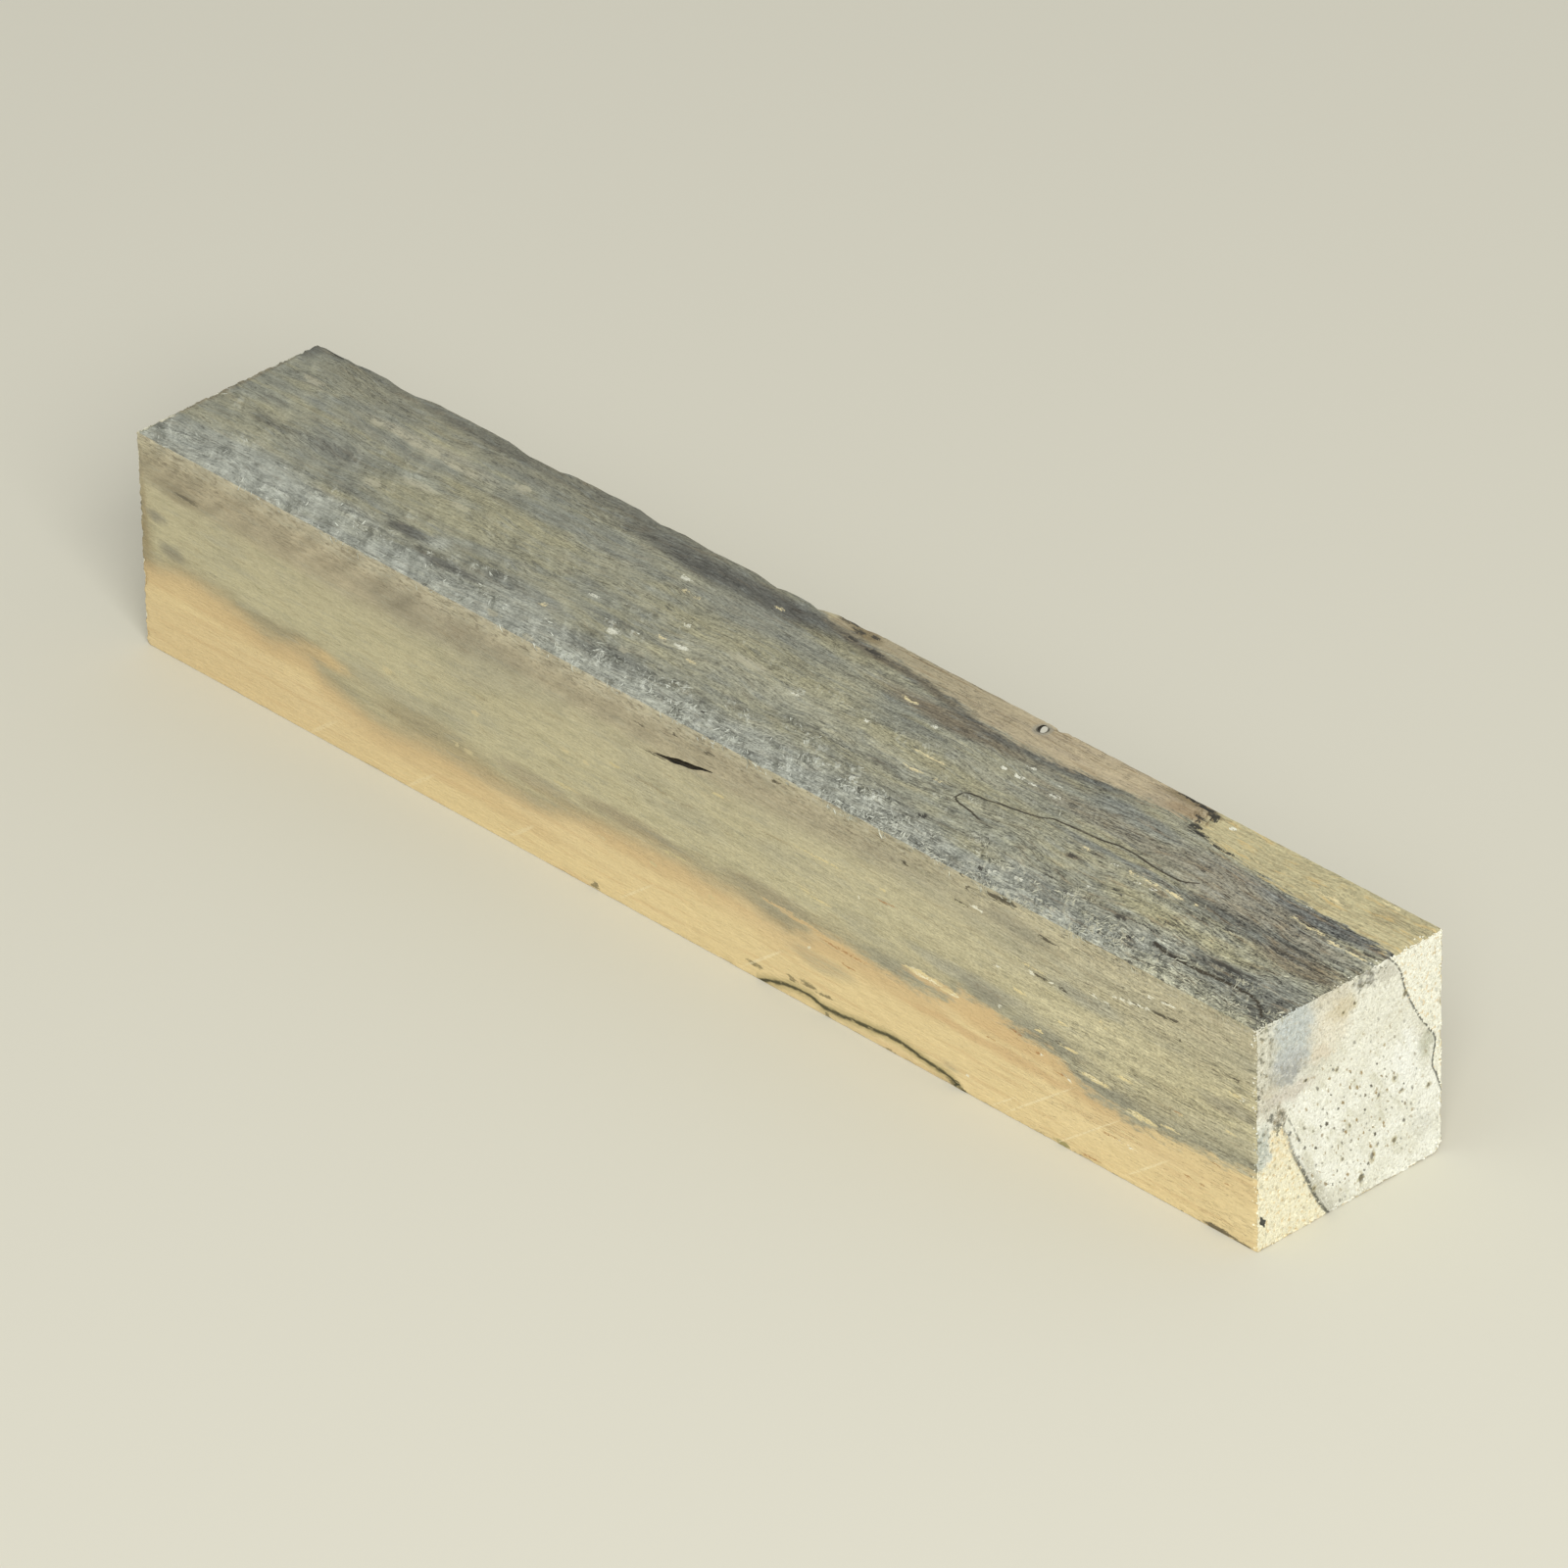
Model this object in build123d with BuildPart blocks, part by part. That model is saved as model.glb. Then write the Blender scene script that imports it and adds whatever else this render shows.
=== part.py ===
from build123d import *
import os

# Wood turning blank
# One stick of spalted hardwood, sawn square and left as it came off the saw.
# It lies along X on its underside, with the origin at the centre of the underside.
# +X points to the end that was cut last, the front is at -Y and up is +Z.

os.makedirs("parts", exist_ok=True)

# Sawn size of the stick
blank_length = 127.0
blank_width = 20.0
blank_height = 20.0

# Long arrises: flats that the saw and the handling left along each of the four
front_top_arris = 0.20
back_top_arris = 0.22
front_bottom_arris = 0.30
back_bottom_arris = 0.40

# Short edges round the two sawn ends
near_end_edge = 0.12
far_end_edge = 0.20

# Corner knocked round where the lower back arris meets the near end, dying out along the arris
worn_corner_radius = 1.4
worn_corner_run_out = 9.0

# Drying check that stands open on the front face and closes inwards to a narrow root
check_length = 6.6
check_gap = 0.55
check_root_length = 3.8
check_root_gap = 0.14
check_depth = 1.6
check_slope = 9.0
check_from_far_end = 64.2
check_below_top = 3.7

# Beetle gallery: a short round tunnel under the upper back arris. It goes in at the top
# face, tilted away from upright and headed back and towards the far end
gallery_diameter = 0.8
gallery_tilt = 50.0
gallery_heading = 40.0
gallery_from_far_end = 84.8
gallery_from_back = 1.0

# Where the faces of the stick lie
near_end = blank_length / 2
far_end = -blank_length / 2
front = -blank_width / 2
back = blank_width / 2
near_end_plane = Plane.YZ.offset(near_end)
far_end_plane = Plane.YZ.offset(far_end)


def corner_offcut(radius, overlap):
    """Outline of what is missing outside a round on the lower back corner of the section."""
    with BuildLine() as outline:
        rounding = JernArc(
            start=(back - radius, 0), tangent=(1, 0), radius=radius, arc_size=90
        )
        Polyline(
            rounding @ 1,
            (back + overlap, radius),
            (back + overlap, -overlap),
            (back - radius, -overlap),
            rounding @ 0,
        )
    return outline.line


def check_outline(length, gap):
    """Lens outline of the check: two shallow arcs that meet in a point at each end."""
    with BuildLine() as outline:
        SagittaArc((-length / 2, 0), (length / 2, 0), gap / 2)
        SagittaArc((-length / 2, 0), (length / 2, 0), -gap / 2)
    return outline.line


with BuildPart() as turning_blank:
    # The square section, with each corner flattened by its own amount, runs the whole length
    with BuildSketch(far_end_plane) as section:
        with Locations((0, blank_height / 2)):
            Rectangle(blank_width, blank_height)
        bottom_corners, top_corners = section.vertices().group_by(Axis.Y)
        chamfer(bottom_corners.sort_by(Axis.X)[0], front_bottom_arris)
        chamfer(bottom_corners.sort_by(Axis.X)[-1], back_bottom_arris)
        chamfer(top_corners.sort_by(Axis.X)[0], front_top_arris)
        chamfer(top_corners.sort_by(Axis.X)[-1], back_top_arris)
    extrude(amount=blank_length)

    # The saw leaves a fine break round each end
    end_faces = turning_blank.faces().filter_by(Axis.X).sort_by(Axis.X)
    chamfer(end_faces[-1].edges(), near_end_edge)
    end_faces = turning_blank.faces().filter_by(Axis.X).sort_by(Axis.X)
    chamfer(end_faces[0].edges(), far_end_edge)

    # The knocked corner is a cone-like round, widest at the near end
    run_out_plane = near_end_plane.offset(-worn_corner_run_out)
    with BuildSketch(near_end_plane) as knocked:
        make_face(corner_offcut(worn_corner_radius, worn_corner_radius))
    with BuildSketch(run_out_plane) as run_out:
        make_face(corner_offcut(back_bottom_arris, worn_corner_radius))
    loft(mode=Mode.SUBTRACT)

    # The check opens outwards through the front face and rises towards the near end
    check_mouth_plane = Plane(
        origin=(far_end + check_from_far_end, front, blank_height - check_below_top),
        x_dir=Vector(1, 0, 0).rotate(Axis.Y, -check_slope),
        z_dir=(0, -1, 0),
    )
    with BuildSketch(check_mouth_plane) as mouth:
        make_face(check_outline(check_length, check_gap))
    with BuildSketch(check_mouth_plane.offset(-check_depth)) as root:
        make_face(check_outline(check_root_length, check_root_gap))
    loft(mode=Mode.SUBTRACT)

    # The gallery comes out of the back face a little lower than it went in
    gallery_axis = Vector(0, 0, 1).rotate(Axis.X, gallery_tilt).rotate(Axis.Z, gallery_heading)
    gallery_mouth = Plane(
        origin=(far_end + gallery_from_far_end, back - gallery_from_back, blank_height),
        z_dir=gallery_axis,
    )
    gallery_reach = (gallery_from_back + gallery_diameter) / abs(gallery_axis.Y)
    with BuildSketch(gallery_mouth) as bore:
        Circle(gallery_diameter / 2)
    extrude(amount=gallery_reach, both=True, mode=Mode.SUBTRACT)

turning_blank.part.label = "turning_blank"
export_step(turning_blank.part, "parts/turning_blank.step")
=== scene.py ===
import math

import bmesh
import bpy
from mathutils import Matrix, Vector


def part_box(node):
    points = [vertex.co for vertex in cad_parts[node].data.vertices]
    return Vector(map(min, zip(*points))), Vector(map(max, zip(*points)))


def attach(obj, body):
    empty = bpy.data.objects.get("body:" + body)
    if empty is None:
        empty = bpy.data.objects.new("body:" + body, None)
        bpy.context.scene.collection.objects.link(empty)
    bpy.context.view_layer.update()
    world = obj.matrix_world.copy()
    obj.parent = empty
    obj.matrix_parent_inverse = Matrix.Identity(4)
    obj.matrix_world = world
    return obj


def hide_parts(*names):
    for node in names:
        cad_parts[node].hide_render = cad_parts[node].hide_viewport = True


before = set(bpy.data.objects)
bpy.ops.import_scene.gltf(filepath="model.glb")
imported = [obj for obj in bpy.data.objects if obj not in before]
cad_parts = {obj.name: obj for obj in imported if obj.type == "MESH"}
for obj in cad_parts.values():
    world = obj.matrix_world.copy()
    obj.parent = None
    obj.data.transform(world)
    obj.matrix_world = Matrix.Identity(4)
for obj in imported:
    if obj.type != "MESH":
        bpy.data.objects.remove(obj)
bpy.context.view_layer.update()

# Stick off the saw
# The blank is one length of spalted hardwood, ripped to a square section and cut off square.
# Its skin is ruled into fine strips, closest beside the arrises and where the wood is most
# worn, so that saw marks, pores and torn grain can be raised on it.
mm = 0.001
hair = 1e-6
low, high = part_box("turning_blank")
length, width, height = (high - low) / mm
rim = 1.0
rim_strips = 7
face_strips = 72
runs_along = (
    (0, rim, 6), (rim, 58, 63), (58, 70, 30), (70, 84, 23), (84, 88, 14), (88, 100, 20),
    (100, length - rim, 65), (length - rim, length, 8),
)
runs_across, runs_up = (
    ((0, rim, rim_strips), (rim, size - rim, face_strips), (size - rim, size, rim_strips))
    for size in (width, height)
)
outward = {
    "top": Vector((0, 0, 1)),
    "front": Vector((0, -1, 0)),
    "back": Vector((0, 1, 0)),
    "under": Vector((0, 0, -1)),
    "near": Vector((1, 0, 0)),
    "far": Vector((-1, 0, 0)),
}


def rule_strips(axis, runs):
    """Divides the skin in edit mode: a cut where each run starts, then even strips along it."""
    direction = Vector((axis == 0, axis == 1, axis == 2))
    for start, end, strips in runs[1:]:
        bpy.ops.mesh.select_all(action="SELECT")
        bpy.ops.mesh.bisect(plane_co=direction * (low[axis] + start * mm), plane_no=direction)
    for start, end, strips in runs:
        first, last = low[axis] + start * mm - hair, low[axis] + end * mm + hair
        bpy.ops.mesh.select_all(action="DESELECT")
        skin = bmesh.from_edit_mesh(bpy.context.object.data)
        for edge in skin.edges:
            near, far = sorted(corner.co[axis] for corner in edge.verts)
            if far - near > hair and near > first and far < last:
                edge.select_set(True)
        bmesh.update_edit_mesh(bpy.context.object.data)
        bpy.ops.mesh.subdivide(number_cuts=strips - 1)


bpy.ops.object.select_all(action="DESELECT")
bpy.ops.mesh.primitive_cube_add(size=1, location=(low + high) / 2, scale=high - low)
stick = bpy.context.object
stick.name = "sawn_stick"
bpy.ops.object.transform_apply(location=True, rotation=True, scale=True)
bpy.ops.object.mode_set(mode="EDIT")
bpy.ops.mesh.select_mode(type="EDGE")
rule_strips(1, runs_across)
rule_strips(2, runs_up)
rule_strips(0, runs_along)
bpy.ops.object.mode_set(mode="OBJECT")

finishes = {side: bpy.data.materials.new(f"spalted wood, {side}") for side in outward}
for finish in finishes.values():
    stick.data.materials.append(finish)
for face in stick.data.polygons:
    facing = [face.normal.dot(direction) for direction in outward.values()]
    face.material_index = facing.index(max(facing))

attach(stick, "root")
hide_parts("turning_blank")


# Saw marks, torn grain and worn arrises
# The saw has left slanting scratches and lifted the soft stained grain into fuzz, the crosscut
# has crumbled the ends, and the arrises are chipped here and there, one corner most of all.
class Field:
    """A value, colour or place in a node tree. Arithmetic on it adds the Math nodes it needs."""

    def __init__(self, tree, socket=None):
        self.tree = tree
        self.socket = socket

    def add(self, kind, settings=None, sockets=None, output=0):
        """Adds a node, with its settings first and then the values or links of its sockets."""
        made = self.tree.nodes.new(kind)
        for name, setting in (settings or {}).items():
            if name == "points":
                line = made.mapping.curves[0].points
                for place in setting[1:-1]:
                    line.new(*place)
                line[0].location = setting[0]
                line[len(line) - 1].location = setting[-1]
                for point in line:
                    point.handle_type = "AUTO_CLAMPED"
                made.mapping.update()
            else:
                setattr(made, name, setting)
        for name, value in (sockets or {}).items():
            if isinstance(value, Field):
                self.tree.links.new(value.socket, made.inputs[name])
            else:
                made.inputs[name].default_value = value
        return Field(self.tree, made.outputs[output] if made.outputs else None)

    def sum_of(self, operation, first, second=0.0, third=0.0):
        return self.add("ShaderNodeMath", {"operation": operation}, {0: first, 1: second, 2: third})

    def __add__(self, other):
        return self.sum_of("ADD", self, other)

    __radd__ = __add__

    def __sub__(self, other):
        return self.sum_of("SUBTRACT", self, other)

    def __rsub__(self, other):
        return self.sum_of("SUBTRACT", other, self)

    def __mul__(self, other):
        return self.sum_of("MULTIPLY", self, other)

    __rmul__ = __mul__

    def __truediv__(self, other):
        return self.sum_of("DIVIDE", self, other)

    def __pow__(self, other):
        return self.sum_of("POWER", self, other)

    def __abs__(self):
        return self.sum_of("ABSOLUTE", self)

    def __gt__(self, other):
        return self.sum_of("GREATER_THAN", self, other)

    def __lt__(self, other):
        return self.sum_of("LESS_THAN", self, other)


def step(value, start, end):
    """0 below start and 1 above end, easing between them; with start above end it falls."""
    return value.add(
        "ShaderNodeMapRange",
        {"interpolation_type": "SMOOTHSTEP"},
        {"Value": value, "From Min": start, "From Max": end},
    )


def most(first, second):
    """The larger of two values."""
    return first.sum_of("MAXIMUM", first, second)


def at(along, across, deep=0.0):
    """A place from its parts on the rulers."""
    return along.add("ShaderNodeCombineXYZ", None, {0: along, 1: across, 2: deep})


def vectors(operation, first, second=None, third=None, output=0):
    """A Vector Math node on its first field and what it is combined with."""
    sockets = {0: first}
    if second is not None:
        sockets[3 if operation == "SCALE" else 1] = second
    if third is not None:
        sockets[2] = third
    return first.add("ShaderNodeVectorMath", {"operation": operation}, sockets, output)


def stretched(place, scale, seed):
    """A place in mm scaled along, across and deep, and moved so that seeds differ in pattern."""
    return vectors("MULTIPLY_ADD", place, (*scale, 1)[:3], (seed * 17.3, seed * 5.9, seed * 11.1))


def noise(place, scale, seed, detail=2.0, rough=0.5):
    """Noise in 0 to 1 with so many waves to the mm on two rulers, or on three."""
    return place.add(
        "ShaderNodeTexNoise",
        {"noise_dimensions": f"{len(scale)}D"},
        {
            "Vector": stretched(place, scale, seed),
            "Scale": 1.0,
            "Detail": detail,
            "Roughness": rough,
        },
    )


def parts_of(place):
    """The three parts of a place."""
    return [place.add("ShaderNodeSeparateXYZ", None, {0: place}, i) for i in range(3)]


def rulers_at(x, y, z):
    """For each side its two rulers and its depth, all in mm as the place is."""
    from_far, from_near = x + length / 2, length / 2 - x
    from_front, from_back = y + width / 2, width / 2 - y
    from_top = height - z
    return {
        "top": (from_far, from_back, from_top),
        "front": (from_far, from_top, from_front),
        "back": (from_far, from_top, from_back),
        "under": (from_far, from_back, z),
        "near": (from_front, from_top, from_near),
        "far": (from_back, from_top, from_far),
    }


def sides(place):
    """A place in mm, and the rulers of each side there, from a place in metres."""
    place = vectors("SCALE", place, 1 / mm)
    return place, rulers_at(*parts_of(place))


def turned(along, across, lean_along, lean_across):
    """Both rulers of a side turned, to run along a slope and across it."""
    return at(along * lean_along + across * lean_across, across * lean_along - along * lean_across)


def geometry_tree(name):
    """A new node tree for shapes: its start, and the skin that comes into it."""
    tree = bpy.data.node_groups.new(name, "GeometryNodeTree")
    tree.interface.new_socket("Geometry", in_out="INPUT", socket_type="NodeSocketGeometry")
    tree.interface.new_socket("Geometry", in_out="OUTPUT", socket_type="NodeSocketGeometry")
    start = Field(tree)
    return start, start.add("NodeGroupInput")


def only(piece):
    """Leaves one piece selected, as the operators need it."""
    bpy.ops.object.select_all(action="DESELECT")
    piece.select_set(True)
    bpy.context.view_layer.objects.active = piece


def finish_with(piece, skin):
    """Ends a geometry tree and applies it to a piece."""
    skin.add("NodeGroupOutput", None, {0: skin})
    modifier = piece.modifiers.new(skin.tree.name, "NODES")
    modifier.node_group = skin.tree
    only(piece)
    bpy.ops.object.modifier_apply(modifier=modifier.name)


saw_pitch = 1.7
scratch_height = 0.01
planed_off = 0.03


def sawn_depth(place, along, across, saw_angle, torn, bare, seed):
    """How far a long side lies below its true plane, in mm."""
    hollow = noise(place, (0.03, 0.16, 0.16), seed, 1) * 0.06
    phase = (along * math.cos(saw_angle) + across * math.sin(saw_angle)) * (2 * math.pi / saw_pitch)
    swing = noise(place, (0.25, 0.25, 0.25), seed + 1, 2) * 9
    scratch = phase.sum_of("SINE", phase + swing) * scratch_height
    tufts = abs(noise(place, (0.9, 3.2, 3.2), seed + 2, 3, 0.6) - 0.5) * torn
    pits = step(noise(place, (0.35, 4.2, 4.2), seed + 3, 2), 0.6, 0.72) * 0.05
    return bare + hollow + scratch + tufts + pits


def crumbled_depth(place, across, down, seed):
    """How far a sawn end lies below its true plane, in mm: most along its edges."""
    side_on = abs(across - width / 2)
    up_on = abs(down - height / 2)
    to_edge = width / 2 - most(side_on, up_on)
    crumbs = noise(place, (1.0, 2.6, 2.6), seed, 3, 0.65)
    pores = step(noise(place, (0.5, 4.0, 4.0), seed + 1, 1), 0.66, 0.76) * 0.14
    return 0.01 + crumbs * 0.2 + pores + step(to_edge, 0.7, 0.0) * step(crumbs, 0.45, 0.7) * 0.16


saw_lean = (0.64, 0.77)
start, skin = geometry_tree("relief")
place, rulers = sides(start.add("GeometryNodeInputPosition"))
along, from_back, from_top = rulers["top"]
across_end, down, from_near = rulers["near"]
end_fray = step(abs(along - length / 2), length / 2 - 0.6, length / 2) * 0.2
end_fray = end_fray * step(noise(place, (0.8, 1.6, 1.6), 15, 2), 0.4, 0.64)
front_fuzz = step(from_top, 12, 2) * 0.14 + 0.05
top_fuzz = step(from_back, 9, 18) * 0.26 + 0.16
tuft_lumps = noise(turned(along, from_back, *saw_lean), (0.5, 1.3), 16, 3)
tuft_lumps = tuft_lumps * step(from_back, 12.5, 18) * 0.26
depths = {
    "top": sawn_depth(place, along, from_back, 0.87, top_fuzz, planed_off, 21) + tuft_lumps,
    "front": sawn_depth(place, along, from_top, -0.91, front_fuzz, planed_off, 31),
    "back": sawn_depth(place, along, from_top, 0.84, 0.14, planed_off, 41),
    "under": sawn_depth(place, along, from_back, -0.8, 0.12, 0.02, 51) * 0.4,
    "near": crumbled_depth(place, across_end, down, 61),
    "far": crumbled_depth(place, across_end, down, 71),
}
shift = None
for side, (*_, deep) in rulers.items():
    fray = 0.0 if side in ("near", "far") else end_fray
    sunk = (deep < 0.001) * (depths[side] + fray) * -mm
    moved = start.add("ShaderNodeVectorMath", {"operation": "SCALE"}, {0: outward[side], 3: sunk})
    shift = moved if shift is None else vectors("ADD", shift, moved)
skin = skin.add("GeometryNodeSetPosition", None, {"Geometry": skin, "Offset": shift})
finish_with(stick, skin)

worn_corner = 1.4
worn_run_out = 9.0
scallop_middle = 56.5
notch_middle = 85.9
start, skin = geometry_tree("arrises")
place, rulers = sides(start.add("GeometryNodeInputPosition"))
along, from_back, from_top = rulers["top"]
side_on = width / 2 - from_back
up_on = height / 2 - from_top
chips = noise(place, (0.45, 0.12, 0.12), 81, 3, 0.6)
small_chips = noise(place, (1.6, 0.4, 0.4), 82, 2, 0.6)
upper_front = (side_on < 0) * (up_on > 0)
upper_back = (side_on > 0) * (up_on > 0)
lower_back = (side_on > 0) * (up_on < 0)
sharp_near_end = step(along, 125.5, 117)
chipped = step(chips, 0.6, 0.86) * 0.5 + step(small_chips, 0.5, 0.8) * 0.2
rounding = 0.08 + chipped * sharp_near_end
rounding = rounding + upper_front * step(along, 102, 92) * (0.12 + small_chips * 0.5)
waves = noise(at(along, side_on * 0), (0.17, 1.0), 83, 2)
wavy = step(along, 78, 60) * step(waves, 0.44, 0.72) * 0.7
scallop = step(abs(along - scallop_middle), 4.2, 1.8) * 0.7
notch = step(abs(along - notch_middle), 0.55, 0.25) * 0.45
rounding = rounding + upper_back * (wavy + scallop + notch)
rounding = most(rounding, worn_corner * (1 - (length - along) / worn_run_out) * lower_back)
inner = width / 2 - planed_off - rounding
out_side = most(abs(side_on) - inner, 0.0)
out_up = most(abs(up_on) - inner, 0.0)
reach = (out_side * out_side + out_up * out_up) ** 0.5
past = (out_side > 0) * (out_up > 0) * (reach > rounding)
pull = past * (1 - rounding / (reach + hair))
new_side = side_on - side_on.sum_of("SIGN", side_on) * out_side * pull
new_up = up_on - up_on.sum_of("SIGN", up_on) * out_up * pull
worn_place = at((along - length / 2) * mm, new_side * mm, (new_up + height / 2) * mm)
skin = skin.add("GeometryNodeSetPosition", None, {"Geometry": skin, "Position": worn_place})
finish_with(stick, skin)

# Drying check and beetle gallery
# The front face has split open along the grain as it dried, and a beetle has bored a round
# tunnel that breaks out through the upper back arris. Both are painted near-black inside, as
# painted shade.
# This near-black finish on the walls of both hollows is painted shade.
hollow_shade_finish = bpy.data.materials.new("painted shade inside the hollows")
check_size = Vector((6.8, 3.2, 0.6)) * mm
check_middle = Vector((low.x + 64.2 * mm, low.y, high.z - 3.7 * mm))
check_slope = math.radians(9)
gallery_radius = 0.38 * mm
gallery_middle = Vector((low.x + 84.8 * mm, high.y - 1.0 * mm, high.z))
gallery_turn = Matrix.Rotation(math.radians(40), 3, "Z") @ Matrix.Rotation(math.radians(50), 3, "X")


def cut_out(cutter):
    """Takes the cutter's shape out of the stick, and leaves its finish on the walls."""
    cutter.data.materials.append(hollow_shade_finish)
    cut = stick.modifiers.new("cut", "BOOLEAN")
    cut.object = cutter
    cut.operation = "DIFFERENCE"
    cut.solver = "MANIFOLD"
    cut.material_mode = "TRANSFER"
    only(stick)
    bpy.ops.object.modifier_apply(modifier=cut.name)
    bpy.data.objects.remove(cutter)


bpy.ops.mesh.primitive_uv_sphere_add(segments=56, ring_count=20, radius=0.5, location=check_middle)
check = bpy.context.object
check.scale = check_size
bpy.ops.object.transform_apply(location=False, rotation=False, scale=True)
start, skin = geometry_tree("ragged split")
place = vectors("SCALE", start.add("GeometryNodeInputPosition"), 1 / mm)
x, y, z = parts_of(place)
sway = (noise(at(x, 0.0), (0.35, 1.0), 17, 2) - 0.5) * 0.5
ragged_width = 0.3 + noise(at(x, z), (1.5, 2.4), 18, 3) * 0.9
opening = step(x, -4.2, -0.4) * (1 - step(x, 0.4, 2.6) * 0.55) * ragged_width + 0.12
torn_place = vectors("SCALE", at(x, y, z * opening + sway), mm)
skin = skin.add("GeometryNodeSetPosition", None, {"Geometry": skin, "Position": torn_place})
finish_with(check, skin)
check.rotation_euler = (0, -check_slope, 0)
bpy.ops.object.transform_apply(location=False, rotation=True, scale=False)
cut_out(check)

bpy.ops.mesh.primitive_cylinder_add(
    vertices=28, radius=gallery_radius, depth=5 * mm, location=gallery_middle
)
gallery = bpy.context.object
gallery.rotation_euler = gallery_turn.to_euler()
cut_out(gallery)
only(stick)
bpy.ops.object.shade_smooth_by_angle(angle=math.radians(48))

# Stain in the wood
# Fungus has stained most of the wood blue-grey and olive. What it has left clean is straw, pink
# or cream, and the two meet along borders that follow the grain. Laid on the ruled skin here are
# the broad tones of both, and how many mm each place lies past the border into the clean wood.


def linear(red, green, blue):
    """A colour as a paint card gives it, 0 to 255, in the light values that shaders work in."""
    parts = [part / 255 for part in (red, green, blue)]
    return (*(p / 12.92 if p <= 0.04045 else ((p + 0.055) / 1.055) ** 2.4 for p in parts), 1.0)


charcoal = (90, 90, 82)
slate = (127, 129, 118)
silver = (167, 170, 157)
olive = (158, 153, 120)
umber = (112, 101, 80)
mauve = (136, 131, 113)
warm_grey = (138, 134, 116)
pink_tan = (182, 168, 136)
straw = (188, 179, 138)
cream = (224, 202, 150)
apricot = (208, 182, 134)
ivory = (242, 238, 212)


def mix(below, above, share):
    """Lays one colour over another, by a share in 0 to 1."""
    below, above = (linear(*tone) if isinstance(tone, tuple) else tone for tone in (below, above))
    return share.add(
        "ShaderNodeMix", {"data_type": "RGBA"}, {0: share, 6: below, 7: above}, output=2
    )


def least(first, second):
    """The smaller of two values."""
    return first.sum_of("MINIMUM", first, second)


def course(value, points, span):
    """A smooth line through points (value, height), with heights between 0 and span."""
    first, last = points[0][0], points[-1][0]
    share = value.add(
        "ShaderNodeMapRange", None, {"Value": value, "From Min": first, "From Max": last}
    )
    scaled = [((x - first) / (last - first), y / span) for x, y in points]
    return span * value.add("ShaderNodeFloatCurve", {"points": scaled}, {"Value": share})


def patched(colour, along, across, patches):
    """Lays soft oval patches over a colour: stains, and a few of painted shade."""
    for stain, (middle_along, middle_across), (half_along, half_across), strength in patches:
        out_along = (along - middle_along) / half_along
        out_across = (across - middle_across) / half_across
        reach = out_along * out_along + out_across * out_across
        colour = mix(colour, stain, step(reach, 1.3, 0.1) * strength)
    return colour


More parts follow.
